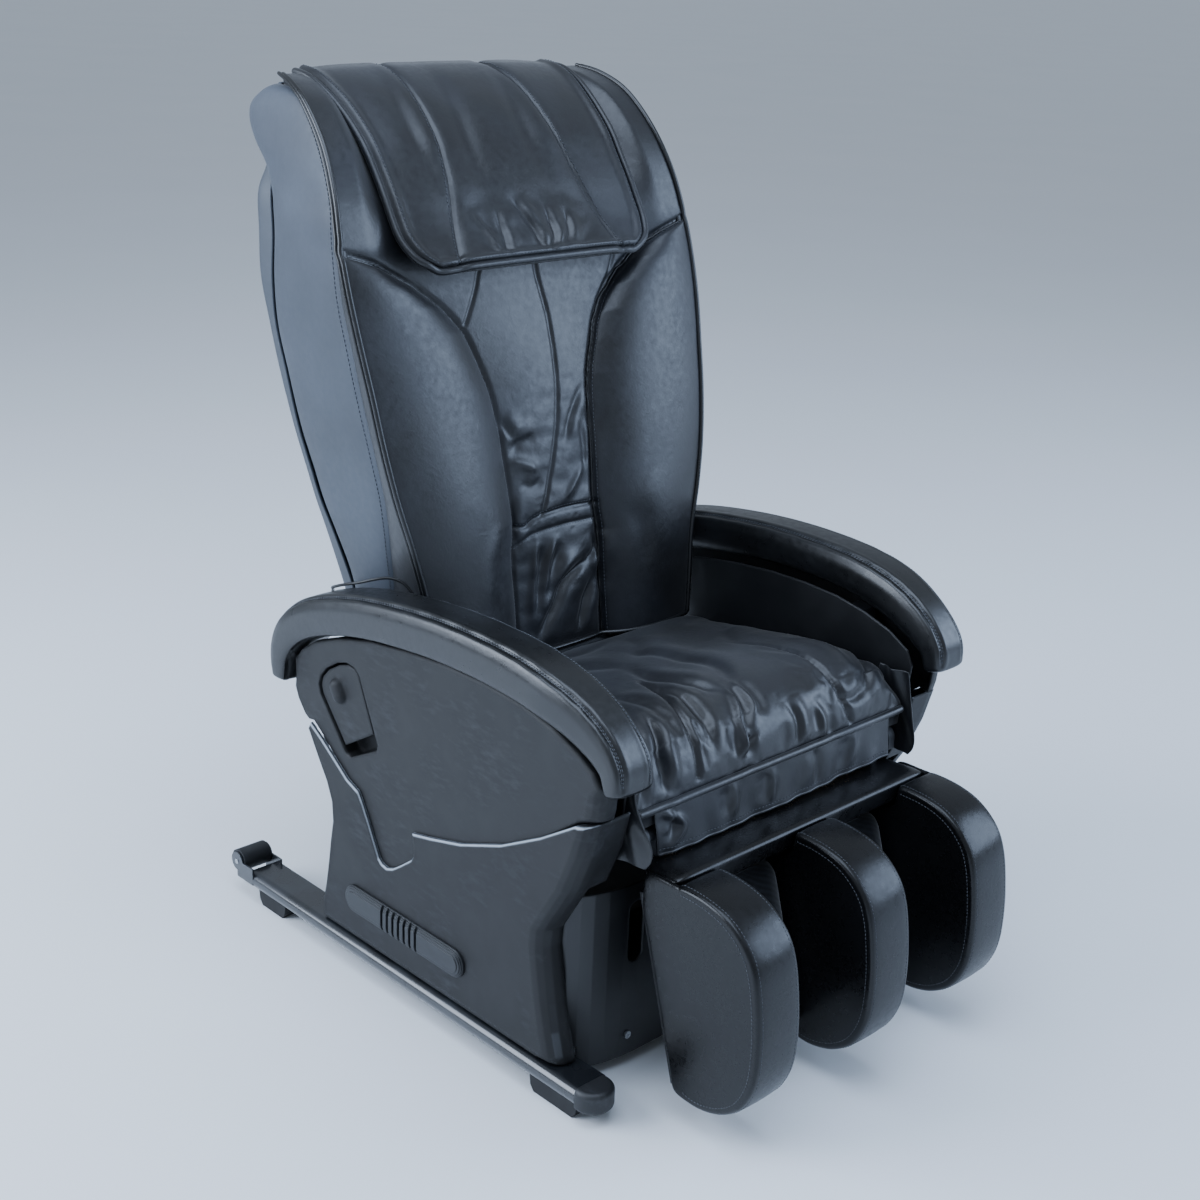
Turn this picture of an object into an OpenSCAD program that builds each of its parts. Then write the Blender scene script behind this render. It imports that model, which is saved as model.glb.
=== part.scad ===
// Household massage chair: floor rails, stepped side covers with arched arm pads, a reclining back
// that holds a travelling massage unit, and a leg rest with three padded fins.
// Front is -Y, the sitter's right is -X, up is +Z, the floor is Z = 0. Millimetres.

/* [Base] */
// Half width over the outer edges of the floor rails
rail_half = 340; // [325:1:355]
// Width of one floor rail
rail_w = 52; // [40:1:60]
// Height of the rail tops above the floor
rail_top = 46; // [40:1:52]
// Depth of the rail section
rail_t = 24; // [18:1:28]
// Wall of the rail tube
rail_wall = 2; // [1.5:0.5:4]
// Rear end of the rails, from the middle of the chair
rail_rear = 430; // [400:1:440]
// Front end of the rails, before the caps
rail_front = -272; // [-290:1:-250]
// Radius of the transport rollers
roller_r = 17; // [14:1:19]
// Radius of the roller axles
axle_r = 4; // [3:0.5:6]

/* [Side covers] */
// Half width over the lower side covers
lower_half = 331; // [322:1:338]
// Half width over the upper side covers
upper_half = 325; // [318:1:331]
// Wall of the plastic covers
wall = 3; // [2:0.5:4]
// Rounding of the covers' outer edges
cover_round = 4.5; // [3.5:0.5:6]
// Rounding of the covers' front edges
front_round = 28; // [20:1:34]
// Number of ribs on a side grip
grip_ribs = 6; // [3:1:9]

/* [Arms] */
// Half width over the arm pads
arm_half = 340; // [330:1:352]
// Width of one arm pad
arm_w = 75; // [60:1:76]

/* [Seat] */
// Half width of the seat cushion
seat_half = 252; // [240:1:256]
// Highest line of the seat cushion
seat_top = 471; // [450:1:480]
// Underside of the seat cushion
seat_low = 363; // [362:1:375]
// Half width of the front seat skirt
skirt_half = 224; // [200:1:235]

/* [Backrest] */
// Distance of the back hinge behind the middle of the chair
hinge_y = 150; // [140:1:160]
// Height of the back hinge
hinge_z = 395; // [385:1:405]
// Lean of the back frame from upright
lean = 13.3; // [10:0.1:16]
// Radius of the back hinge pins
pin_r = 8; // [6:0.5:10]
// Thickness of the headrest flap in the middle
head_pad = 22; // [15:1:24]
// Crown of the rear shell across its middle
shell_crown = 18; // [12:1:22]

/* [Massage unit] */
// Rest place of the carriage along the back, from the hinge
unit_v = 430; // [400:1:460]
// Radius of the massage rollers
wheel_r = 27; // [20:1:28]
// Half distance between the two guide rails
guide_x = 120; // [100:1:135]

/* [Leg rest] */
// Leg rest hinge, front to back
leg_y = -255; // [-260:1:-250]
// Leg rest hinge height
leg_z = 345; // [340:1:350]
// Width of one padded fin
fin_w = 75; // [60:1:85]
// Distance between the middles of neighbouring fins
fin_pitch = 207; // [190:1:215]

/* [Hidden] */
$fn = 48;
eps = 0.2;

// Recline lever arm, push rod travel and the matching leg rest lever arm
back_arm = 85;
recline_max = 45;
leg_max = 73;
push = 2 * back_arm * sin(recline_max / 2);
leg_arm = push / (2 * sin(leg_max / 2));
pin_a = [hinge_y + back_arm * sin(recline_max / 2), hinge_z - back_arm * cos(recline_max / 2)];
pin_c = [leg_y + leg_arm * sin(leg_max / 2), leg_z - leg_arm * cos(leg_max / 2)];
push_z = 302;

// Middle line and thickness of an arm pad, from its tail to its nose: [y, z, thickness]
arm_line = [[346, 384, 34], [344, 420, 46], [326, 452, 54], [288, 480, 57], [230, 503, 58], [160, 521, 59],
  [80, 533, 60], [0, 540, 60], [-80, 541, 60], [-150, 536, 60], [-210, 522, 60], [-256, 500, 55],
  [-287, 474, 44], [-296, 446, 32]];

// Arm pad underside on the outer face, from tail to nose: [y, z]
arm_under = [[316, 408], [304, 430], [286, 444], [232, 467], [180, 481], [122, 493], [56, 503], [-10, 509],
  [-74, 510], [-130, 507], [-180, 498], [-225, 484], [-258, 465], [-277, 445]];

// Top edge of the upper covers, just under the arm pads, from tail to nose: [y, z]
cover_top = [[321, 414], [304.5, 433.5], [273.5, 453.9], [220.5, 474.5], [153.5, 491.3], [76, 502.6],
  [-1.5, 509.6], [-79, 510.5], [-145, 505.5], [-199, 492.9], [-240, 475.8], [-267, 460], [-278, 446]];

// Joint line between lower and upper cover, from the rear edge to the front edge: [y, z]
step_line = [[279, 335], [255, 321], [224, 300], [197, 281], [173, 272], [164, 259], [151, 236], [138, 211],
  [127.5, 191], [121, 186], [110, 184], [97, 189], [80, 201], [58, 218], [54, 225], [54, 237], [57, 257],
  [18, 266], [-41, 282], [-117, 312], [-188, 351], [-246, 389]];

// How far the upper cover runs on behind the lower one, at each point of the joint line
tuck = [-1.2, 1, 5, 6, 6, 6, 6, 6, 6, 6, 6, 6, 6, 6, 6, 6, 6, 6, 6, 6, 5, -1.2];

// Rear and front edges of the covers: [y, z]
lower_rear = [[254, 48], [256, 71], [248, 106], [242, 140], [237, 173], [231, 206], [233, 235], [244, 261],
  [260, 285], [275, 309], [285, 325]];
lower_front = [[-274, 397], [-262, 349], [-239, 293], [-215, 253], [-198, 224], [-196, 199], [-201, 166],
  [-208, 127], [-217, 89], [-226, 58], [-228, 48]];
upper_rear = [[320, 392], [322, 373], [315, 357], [300, 339], [291, 334]];
upper_front = [[-281, 432], [-279, 412], [-276, 400]];

// Outline of one leg rest fin: [y, z], from its top rear corner over the front to the bottom rear
fin_side = [[-333, 312], [-345, 319], [-375, 318], [-405, 311], [-430, 297], [-450, 276], [-462, 248],
  [-469, 212], [-473, 170], [-472, 126], [-464, 94], [-447, 66], [-420, 46], [-388, 36], [-362, 37],
  [-350, 46], [-342, 75], [-320, 150], [-300, 217], [-284, 272], [-296, 284], [-326, 286]];

// Edge of the back cushion, from the seat to over the top: [half width, y, z]
back_edge = [[230, 119, 412], [237, 126, 470], [245, 134, 538], [261, 142, 604], [276, 154, 668],
  [286, 168, 734], [292, 183, 798], [298, 199, 860], [301, 217, 920], [300, 236, 978], [293, 257, 1036],
  [284, 291, 1092], [276, 338, 1138], [266, 384, 1160], [254, 424, 1168]];

// Side panel of the back: [z, front y, rear y, half width at the front, half width at the rear]
side_form = [[470, 142, 296, 239, 236], [525, 149, 311, 244, 241], [575, 155, 330, 253, 250],
  [620, 162, 347, 263, 259], [665, 171, 358, 272, 267], [722, 183, 374, 283, 276], [794, 200, 394, 289, 281],
  [852, 215, 410, 294, 284], [911, 232, 413, 297, 286], [970, 251, 411, 296, 285], [1024, 271, 419, 290, 282],
  [1056, 288, 436, 286, 279], [1082, 306, 462, 283, 277], [1106, 328, 479, 280, 274],
  [1128, 355, 478, 277, 272], [1146, 392, 458, 272, 267]];

// Rear shell of the back: [z, edge y, half width, bulge behind the edge]
shell_form = [[440, 289, 229, 26], [506, 305.5, 238, 26], [575, 329.5, 250, 20], [620, 346.5, 259, 14],
  [665, 357.5, 267, 13], [722, 373.5, 275, 13], [794, 393.5, 279, 18], [852, 409.5, 282, 17], [911, 412.5, 284, 31],
  [970, 410.5, 283, 37], [1020, 418.5, 279, 34], [1056, 436, 262.5, 16], [1082, 446, 260.5, 14],
  [1106, 450, 257.5, 13], [1128, 452, 255, 10], [1146, 446, 249, 8]];

// Handset cord, from its socket on the rear panel over the arm to the handset: [x, y, z]
cord_route = [[-232, 246.4, 150], [-233, 256, 151], [-237, 269, 158], [-246, 285, 176], [-254, 302, 200],
  [-260, 322, 232], [-263, 338, 268], [-264, 350, 306], [-262, 358, 346], [-260, 361, 386], [-259, 355, 424],
  [-259, 342, 458], [-261, 326, 485], [-267, 311, 502], [-278, 296, 512], [-290, 279, 521], [-298, 257, 531],
  [-301, 233, 541], [-298, 210, 549], [-289, 190, 557], [-277, 174, 561], [-265, 161, 556], [-257, 150, 542],
  [-253, 138, 522], [-252, 125, 502], [-252, 112, 487], [-252, 101, 481], [-252, 92.5, 479]];

// Straight steps between two values, and smooth curves through given points
function mix(a, b, t) = a + (b - a) * t;
function cut(t, a, b) = min(1, max(0, (t - a) / (b - a)));
function ease(t, a, b) = let (s = cut(t, a, b)) s * s * (3 - 2 * s);
function through(a, b, c, d, t) = b + (c - a) * (t / 2) + (2 * a - 5 * b + 4 * c - d) * (t * t / 2)
  + (3 * b - a - 3 * c + d) * (t * t * t / 2);
function at(list, s) = let (n = len(list) - 1, i = min(n - 1, floor(s * n)))
  through(list[max(i - 1, 0)], list[i], list[i + 1], list[min(i + 2, n)], s * n - i);
function along(list, n) = [for (k = [0:n]) at(list, k / n)];
function turned(list) = [for (k = [len(list) - 1:-1:0]) list[k]];
function total(list, k = 0) = k == len(list) - 1 ? list[k] : list[k] + total(list, k + 1);

// Outline moved inwards by d; the outline runs counter-clockwise
function edge_out(a, b) = let (d = b - a) [d[1], -d[0]] / norm(d);
function inset(list, d) = let (n = len(list)) [for (i = [0:n - 1])
  let (p = edge_out(list[(i + n - 1) % n], list[i]), q = edge_out(list[i], list[(i + 1) % n]))
  list[i] - d * (p + q) / (1 + p * q)];

// Closed skin over rings of points, with a flat fan on each end
module skin(rings) {
  n = len(rings);
  m = len(rings[0]);
  caps = [total(rings[0]) / m, total(rings[n - 1]) / m];
  walls = [for (i = [0:n - 2]) for (j = [0:m - 1])
    let (a = i * m + j, b = i * m + (j + 1) % m) each [[a, b + m, b], [a, a + m, b + m]]];
  first = [for (j = [0:m - 1]) [n * m, j, (j + 1) % m]];
  last = [for (j = [0:m - 1]) [n * m + 1, (n - 1) * m + (j + 1) % m, (n - 1) * m + j]];
  polyhedron([for (r = rings) each r, each caps], concat(walls, first, last), convexity = 8);
}

// Closed ring without ends: the last section joins the first
module hoop(sections) {
  n = len(sections);
  m = len(sections[0]);
  faces = [for (i = [0:n - 1]) for (j = [0:m - 1])
    let (a = i * m + j, b = i * m + (j + 1) % m, k = ((i + 1) % n) * m,
      c = k + (j + 1) % m, d = k + j) each [[a, b, c], [a, c, d]]];
  polyhedron([for (s = sections) each s], faces, convexity = 8);
}

// Closed pad between an outer grid and an inner grid; rows go up and columns go right seen from outside
module slab(outer, inner) {
  n = len(outer);
  m = len(outer[0]);
  q = n * m;
  front = [for (i = [0:n - 2]) for (j = [0:m - 2]) let (a = i * m + j, c = a + m + 1)
    each [[a, c, a + 1], [a, a + m, c]]];
  back = [for (i = [0:n - 2]) for (j = [0:m - 2]) let (a = q + i * m + j, c = a + m + 1)
    each [[a, a + 1, c], [a, c, a + m]]];
  low = [for (j = [0:m - 2]) each [[j, j + 1, q + j + 1], [j, q + j + 1, q + j]]];
  top = [for (j = [0:m - 2]) let (d = (n - 1) * m + j, c = d + 1) each [[c, d, q + d], [c, q + d, q + c]]];
  left = [for (i = [0:n - 2]) let (a = i * m, d = a + m) each [[d, a, q + a], [d, q + a, q + d]]];
  right = [for (i = [0:n - 2]) let (b = i * m + m - 1, c = b + m) each [[b, c, q + c], [b, q + c, q + b]]];
  polyhedron([for (r = outer) each r, for (r = inner) each r], concat(front, back, low, top, left, right),
    convexity = 8);
}

// Flat outline in the side view, given a width from x0 to x1
module slice(list, x0, x1) {
  translate([x0, 0, 0]) rotate([90, 0, 90]) linear_extrude(height = x1 - x0) polygon(list);
}

module box(a, b) {
  translate(a) cube(b - a);
}

// Round bar along x through [y, z], and one along y through [x, z]
module bar_x(r, y, z, x0, x1) {
  translate([x0, y, z]) rotate([0, 90, 0]) cylinder(r = r, h = x1 - x0);
}

module bar_y(r, x, z, y0, y1) {
  translate([x, y1, z]) rotate([90, 0, 0]) cylinder(r = r, h = y1 - y0);
}

module right_side() {
  mirror([1, 0, 0]) children();
}

// Along the back frame: y is behind it, z runs up it from the hinge
module on_back() {
  translate([0, hinge_y, hinge_z]) rotate([-lean, 0, 0]) children();
}

// Base
roller_y = 458;
roller_z = 52;

module rail_section(grow) {
  r = rail_t / 2 + grow;
  z = rail_top - rail_t / 2;
  translate([rail_half - rail_t / 2, z]) circle(r);
  translate([rail_half - rail_w - grow, z - r]) square([rail_w - rail_t / 2 + grow, 2 * r]);
}

module rail() {
  cheek = 2.5;
  translate([0, rail_rear, 0]) rotate([90, 0, 0]) linear_extrude(height = rail_rear - rail_front)
    difference() {
      rail_section(0);
      rail_section(-rail_wall);
    }
  for (x = [rail_half - rail_w, rail_half - cheek]) difference() {
    union() {
      box([x, rail_rear - 12, rail_top - 18], [x + cheek, roller_y, rail_top + 8]);
      bar_x(14, roller_y, roller_z, x, x + cheek);
    }
    bar_x(axle_r + 0.05, roller_y, roller_z, x - 1, x + cheek + 1);
  }
  box([rail_half - rail_w, rail_rear - 3, rail_top - rail_t], [rail_half - 9, rail_rear, rail_top]);
}

module rail_left() {
  color("#141416") rail();
}

module rail_right() {
  right_side() rail_left();
}

module rail_cap_left() {
  mid = rail_half - rail_w / 2;
  color("#1b1b1d") {
    translate([0, rail_front - eps, 0]) intersection() {
      translate([mid, -6, 19]) rotate_extrude() {
        square([rail_w / 2 - 6.5, 30]);
        translate([0, 7]) square([rail_w / 2 + 0.5, 16]);
        for (z = [7, 23]) translate([rail_w / 2 - 6.5, z]) circle(7);
      }
      box([mid - 40, -60, 0], [mid + 40, 0, 60]);
    }
    translate([0, rail_front + 18, 0]) rotate([90, 0, 0]) linear_extrude(height = 19)
      rail_section(-rail_wall - 0.3);
  }
}

module rail_cap_right() {
  right_side() rail_cap_left();
}

module floor_pads() {
  low = rail_top - rail_t - eps;
  color("#0e0e0f") for (s = [-1, 1]) for (y = [[-270, -184], [346, 412]])
    translate([s * (rail_half - rail_w / 2), 0, 0]) rotate([90, 0, 90])
      translate([0, 0, -19]) linear_extrude(height = 38)
        polygon([[y[0] + 8, 0], [y[1] - 8, 0], [y[1] - 2, 8], [y[1], low], [y[0], low], [y[0] + 2, 8]]);
}

module roller_axles() {
  color("#8a8c90") for (s = [-1, 1])
    bar_x(axle_r, roller_y, roller_z, s * (rail_half - rail_w / 2) - 27, s * (rail_half - rail_w / 2) + 27);
}

module roller_left() {
  color("#18181a") difference() {
    bar_x(roller_r, roller_y, roller_z, rail_half - rail_w + 3.5, rail_half - 3.5);
    bar_x(axle_r + 0.05, roller_y, roller_z, rail_half - rail_w, rail_half);
  }
}

module roller_right() {
  right_side() roller_left();
}

// Welded base frame: posts on the rails inside the side covers, joined across the chair
post_in = 284;
post_out = 311;

module base_frame() {
  color("#2a2b2e") {
    for (s = [-1, 1]) scale([s, 1, 1]) {
      box([post_in, -165, rail_top + eps], [post_out, -135, 488]);
      box([post_in, 57, rail_top + eps], [post_out, 87, 482]);
      box([post_in, -150, 60], [post_out, 70, 84]);
    }
    box([-post_in - 1, -161, 50], [post_in + 1, -139, 70]);
    box([-post_in - 1, 61, 50], [post_in + 1, 83, 70]);
  }
}

module control_box() {
  color("#3a3c40") difference() {
    box([-200, -158, 70 + eps], [-40, 80, 168]);
    for (y = [-120:20:40]) box([-201, y, 100], [-197, y + 8, 150]);
  }
}

// Front panel under the seat, between the side covers, with curved ends and a hand slot near each one: [x, y]
kick_curve = [[195, -228], [220, -226.5], [243, -222.5], [263, -216.5], [279, -209], [291, -200], [299, -189]];
kick_fixings = [[-209, -227.2, 48], [209, -227.2, 48], [-100, -228, 250], [100, -228, 250]];

module kick_half(n) {
  list = [for (i = [0:n]) kick_curve[i]];
  inner = [for (i = [n:-1:0]) let (a = kick_curve[max(i - 1, 0)], b = kick_curve[min(i + 1, 6)],
    d = (b - a) / norm(b - a)) kick_curve[i] + 3 * [-d[1], d[0]]];
  polygon(concat([[-1, -225], [-1, -228]], list, inner));
}

module kick_panel() {
  color("#232427") difference() {
    for (s = [-1, 1]) scale([s, 1, 1]) {
      translate([0, 0, 18]) linear_extrude(height = 40) kick_half(4);
      translate([0, 0, 50]) linear_extrude(height = 212) kick_half(6);
    }
    for (p = kick_fixings) bar_y(2.6, p[0], p[2], -240, -210);
    for (s = [-1, 1]) hull() for (z = [163, 225]) bar_y(12, s * 201, z, -240, -210);
  }
}

module kick_screws() {
  color("#77797d") for (p = kick_fixings) difference() {
    union() {
      bar_y(5, p[0], p[2], p[1] - 3.4, p[1] - 0.4);
      bar_y(2.4, p[0], p[2], p[1] - 1, p[1] + 12);
    }
    box([p[0] - 4, p[1] - 4, p[2] - 0.6], [p[0] + 4, p[1] - 2.2, p[2] + 0.6]);
    box([p[0] - 0.6, p[1] - 4, p[2] - 4], [p[0] + 0.6, p[1] - 2.2, p[2] + 4]);
  }
}

// Rear panel with the mains inlet, the power switch and the handset socket
inlet = [150, 74];
switch_at = [150, 116];
socket = [-232, 150];

module rear_panel() {
  color("#232427") difference() {
    box([-265, 222, 18], [265, 225, 335]);
    box([inlet[0] - 14.3, 220, inlet[1] - 12.3], [inlet[0] + 14.3, 227, inlet[1] + 12.3]);
    box([switch_at[0] - 12, 220, switch_at[1] - 8], [switch_at[0] + 12, 227, switch_at[1] + 8]);
    bar_y(6.5, socket[0], socket[1], 220, 227);
    for (x = [-120:12:60]) box([x, 220, 80], [x + 5, 227, 130]);
  }
}

module mains_inlet() {
  color("#111112") difference() {
    union() {
      box([inlet[0] - 14, 204, inlet[1] - 12], [inlet[0] + 14, 226, inlet[1] + 12]);
      box([inlet[0] - 20, 225 + eps, inlet[1] - 14], [inlet[0] + 20, 228, inlet[1] + 14]);
    }
    box([inlet[0] - 11.5, 210, inlet[1] - 9], [inlet[0] + 11.5, 230, inlet[1] + 9]);
  }
}

module power_switch() {
  color("#0c0c0d") translate([switch_at[0], 223, switch_at[1]]) rotate([0, 0, -8]) {
    box([-10, -4, -7], [10, 4.5, 7]);
    cylinder(r = 3, h = 15, center = true);
  }
}

module handset_socket() {
  color("#111112") {
    bar_y(6, socket[0], socket[1], 212, 226);
    bar_y(10, socket[0], socket[1], 225 + eps, 234);
    translate([socket[0], 246, socket[1]]) rotate([90, 0, 0]) cylinder(r1 = 3.2, r2 = 5, h = 13);
  }
}

// Handset cord: a round tube along its route
cord_r = 2;

module handset_cord() {
  n = 66;
  mids = along(cord_route, n);
  color("#0d0d0e") skin([for (i = [0:n])
    let (t = mids[min(i + 1, n)] - mids[max(i - 1, 0)], w = t / norm(t),
      u0 = abs(w[0]) < 0.8 ? [1, 0, 0] : [0, 1, 0], u1 = cross(w, u0), u = u1 / norm(u1), v = cross(w, u))
    [for (k = [0:7]) mids[i] + cord_r * (cos(45 * k) * u + sin(45 * k) * v)]]);
}

module handset() {
  y0 = -70;
  y1 = 88;
  z0 = 450;
  z1 = 500;
  r = 12;
  color("#1c1d20") {
    translate([-262, 0, 0]) rotate([90, 0, 90]) linear_extrude(height = 18) {
      translate([y0 + r, z0]) square([y1 - y0 - 2 * r, z1 - z0]);
      translate([y0, z0 + r]) square([y1 - y0, z1 - z0 - 2 * r]);
      for (y = [y0 + r, y1 - r]) for (z = [z0 + r, z1 - r]) translate([y, z]) circle(r);
    }
    box([-245, -52, 472], [-243, -12, 490]);
    for (i = [0:3]) for (j = [0:1]) bar_x(5, 4 + 18 * i, 465 + 20 * j, -245, -242.8);
    bar_y(4, -252, 479, 86, 92);
  }
}

// Seat
module seat_frame() {
  color("#2a2b2e") difference() {
    union() {
      for (s = [-1, 1]) scale([s, 1, 1]) {
        box([226, -240, 322], [246, 178, 347]);
        box([226, 134, 340], [238, 166, hinge_z]);
        bar_x(16, hinge_y, hinge_z, 226, 238);
        bar_x(pin_r, hinge_y, hinge_z, 216.5, 238);
        box([228, leg_y - 15, 330], [240, -235, 347]);
        bar_x(15, leg_y, leg_z, 228, 240);
      }
      for (y = [[-165, -140], [60, 85]]) {
        box([-post_in + eps, y[0], 322], [post_in - eps, y[1], 347]);
        box([-14, y[0], 286], [14, y[1], 324]);
      }
    }
    for (y = [[-165, -140], [60, 85]])
      box([-5.4, y[0] - 1, push_z - 8.4], [5.4, y[1] + 1, push_z + 8.4]);
    for (s = [-1, 1]) bar_x(8.05, leg_y, leg_z, s * 234 - 10, s * 234 + 10);
  }
}

module seat_board() {
  color("#8c6f4e") box([-246, -234, 347 + eps], [246, 108, 361]);
}

// Top line of the seat cushion from the front edge to the rear: [y, z]
seat_line = [[-266, 386], [-263, 410], [-254, 432], [-240, 450], [-218, 464], [-190, 471], [-150, 469],
  [-100, 461], [-40, 449], [20, 438], [60, 432], [92, 427], [107, 420], [113, 408]];
seat_cols = [-1, -0.985, -0.94, -0.86, -0.74, -0.62, -0.54, -0.46, -0.3, -0.15, 0,
  0.15, 0.3, 0.46, 0.54, 0.62, 0.74, 0.86, 0.94, 0.985, 1];

// Drop towards the sides, and the sewn channel that curves in at each side
function seat_z(p, u) = let (d = pow(abs(u), 5), line = 0.54 + 0.1 * cut(p[0], -215, -60),
    sew = 5 * exp(-pow((abs(u) - line) / 0.04, 2)) * cut(p[0], -262, -240) * (1 - cut(p[0], -80, 0)))
  mix(p[1], 388 + 0.35 * (p[1] - 388), d * d) + (seat_top - 471) - sew;

module seat_cushion() {
  rows = along(seat_line, 16);
  color("#1a1b1e") slab([for (p = rows) [for (u = seat_cols) [u * seat_half, p[0], seat_z(p, u)]]],
    [for (p = rows) [for (u = seat_cols) [u * (seat_half - 3), p[0], seat_low]]]);
}

// Front skirt hanging from the welt of the seat, with soft waves along its hem
module seat_skirt() {
  n = 24;
  rows = 5;
  function out(u, t) = -269.2 - 10 * t - 2.2 * t * sin(900 * u) - 1.2 * t * sin(1900 * u + 40);
  color("#1a1b1e") slab([for (i = [0:rows]) [for (j = [0:n]) let (u = 2 * j / n - 1, t = 1 - i / rows)
      [u * skirt_half, out(u, t), mix(323, 384, i / rows)]]],
    [for (i = [0:rows]) [for (j = [0:n]) let (u = 2 * j / n - 1, t = 1 - i / rows)
      [u * skirt_half, out(u, t) + 2.5, mix(323, 384, i / rows)]]]);
}

// Side skirts between seat and arm: [z, front y]
side_skirt_line = [[322, -286], [334, -294], [350, -295], [374, -286], [404, -275], [436, -270]];

module side_skirt_left() {
  rows = along(side_skirt_line, 8);
  function bow(t, z) = 257 + 2.5 * sin(330 * t + z);
  color("#1a1b1e") slab([for (p = rows) [for (t = [0:0.125:1]) [bow(t, p[0]), mix(p[1], -222, t), p[0]]]],
    [for (p = rows) [for (t = [0:0.125:1]) [bow(t, p[0]) - 2.5, mix(p[1], -222, t), p[0]]]]);
}

module side_skirt_right() {
  right_side() side_skirt_left();
}

// Side covers: a thin shell with a rounded rim and a flat face inside it. Each outline point has its own edge:
// [way inwards, wall depth, rounding across, rounding along]
function miter(list, i) = let (n = len(list), p = edge_out(list[(i + n - 1) % n], list[i]),
  q = edge_out(list[i], list[(i + 1) % n])) -(p + q) / (1 + p * q);
function cover_edge(list, i, kind) = kind == 2 ? [[1, 0], front_round + 6, front_round, 22]
  : kind == 5 ? [[1, -0.5], front_round + 6, front_round, 22]
  : kind == 6 ? [[1, 0.3], front_round + 6, front_round, 22]
  : kind == 1 ? [miter(list, i), lower_half - upper_half - 0.7, 3.6, 3.6]
  : kind == 3 ? [miter(list, i), 5, 3.6, 3.6]
  : kind == 4 ? [[1, 0], front_round, front_round - 6, 20]
  : [miter(list, i), 13, cover_round, cover_round];

module cover(list, kinds, x) {
  edges = [for (i = [0:len(list) - 1]) cover_edge(list, i, kinds[i])];
  function section(e) = let (w = min(wall, e[2] - 0.5)) concat([[x - e[1], 0]],
    [for (a = [0:22.5:90]) [x - e[2] * (1 - sin(a)), e[3] * (1 - cos(a))]],
    [[x, e[3] + 3], [x - wall, e[3] + 3]],
    [for (a = [90:-22.5:0]) [x - e[2] + (e[2] - w) * sin(a), e[3] - (e[3] - w) * cos(a)]], [[x - e[1], w]]);
  hoop([for (i = [0:len(list) - 1]) [for (f = section(edges[i]))
    let (p = list[i] + f[1] * edges[i][0]) [f[0], p[0], p[1]]]]);
  slice([for (i = [0:len(list) - 1]) list[i] + (edges[i][3] + 1.5) * edges[i][0]], x - wall + 0.2, x - 0.06);
}

function many(k, n) = [for (i = [1:n]) k];

lower_out = concat([[-190, 48]], lower_rear, step_line, lower_front);
lower_kinds = concat([0], many(0, len(lower_rear)), many(1, len(step_line)), [5],
  many(2, len(lower_front) - 2), [6]);
tucked = [for (i = [0:len(step_line) - 1]) let (a = step_line[max(i - 1, 0)],
  b = step_line[min(i + 1, len(step_line) - 1)]) step_line[i] - tuck[i] * edge_out(a, b)];
upper_list = concat(turned(tucked), turned(upper_rear), cover_top, upper_front);
upper_kinds = concat(many(3, len(tucked)), many(0, len(upper_rear)), many(0, len(cover_top)),
  many(4, len(upper_front)));

// Wall that carries a cover's edge inwards
module deep_edge(list, x) {
  n = len(list) - 1;
  thick = [for (i = [n:-1:0]) let (d = list[min(i + 1, n)] - list[max(i - 1, 0)])
    list[i] + (wall - 0.3) * [-d[1], d[0]] / norm(d)];
  slice(concat(list, thick), 268, x);
}

module lower_cover_left() {
  color("#3a3c41") {
    cover(lower_out, lower_kinds, lower_half);
    deep_edge([for (k = [0:2]) lower_front[k]], lower_half - front_round - 5);
    deep_edge([for (k = [0:8]) lower_rear[k]], lower_half - 12.5);
  }
}

module lower_cover_right() {
  right_side() lower_cover_left();
}

module upper_shell() {
  cover(upper_list, upper_kinds, upper_half);
}

module upper_cover_left() {
  color("#3a3c41") upper_shell();
}

// Lever recess in the right cover: tilted frame with its middle at the lever's pivot
lever_at = [197, 374];
lever_tilt = 31.4;
recess = [[38, -46], [50, 40], [46, 54], [34, 64], [14, 69], [-14, 69], [-34, 64], [-48, 54], [-52, 42],
  [-41, -52], [-34, -58], [30, -54]];

module on_lever() {
  translate([0, lever_at[0], lever_at[1]]) rotate([-lever_tilt, 0, 0]) children();
}

module upper_cover_right() {
  floor_x = 298;
  color("#3a3c41") right_side() difference() {
    union() {
      upper_shell();
      on_lever() slice(inset(recess, -2.5), floor_x, upper_half - 1);
    }
    on_lever() slice(recess, floor_x + 2.5, upper_half + 2);
    on_lever() translate([316, 0, 0]) rotate([90, 0, 0]) cylinder(r = 3.05, h = 108, center = true);
  }
}

// Lever plate with an oval knob, turning on two moulded trunnions
module recline_lever() {
  plate = [for (p = inset(recess, 4)) [p[0], max(p[1], -36)]];
  color("#35373c") right_side() on_lever() {
    slice(plate, 318, 323);
    hull() for (z = [28, 41]) translate([322.5, 8, z]) scale([0.95, 1, 1]) sphere(r = 11.5, $fn = 20);
    for (s = [-1, 1]) translate([0, s * 38, 0]) box([312, -3, -6], [319, 3, 6]);
    translate([316, -1, 0]) rotate([90, 0, 0]) cylinder(r = 3, h = 93, center = true);
  }
}

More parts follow.
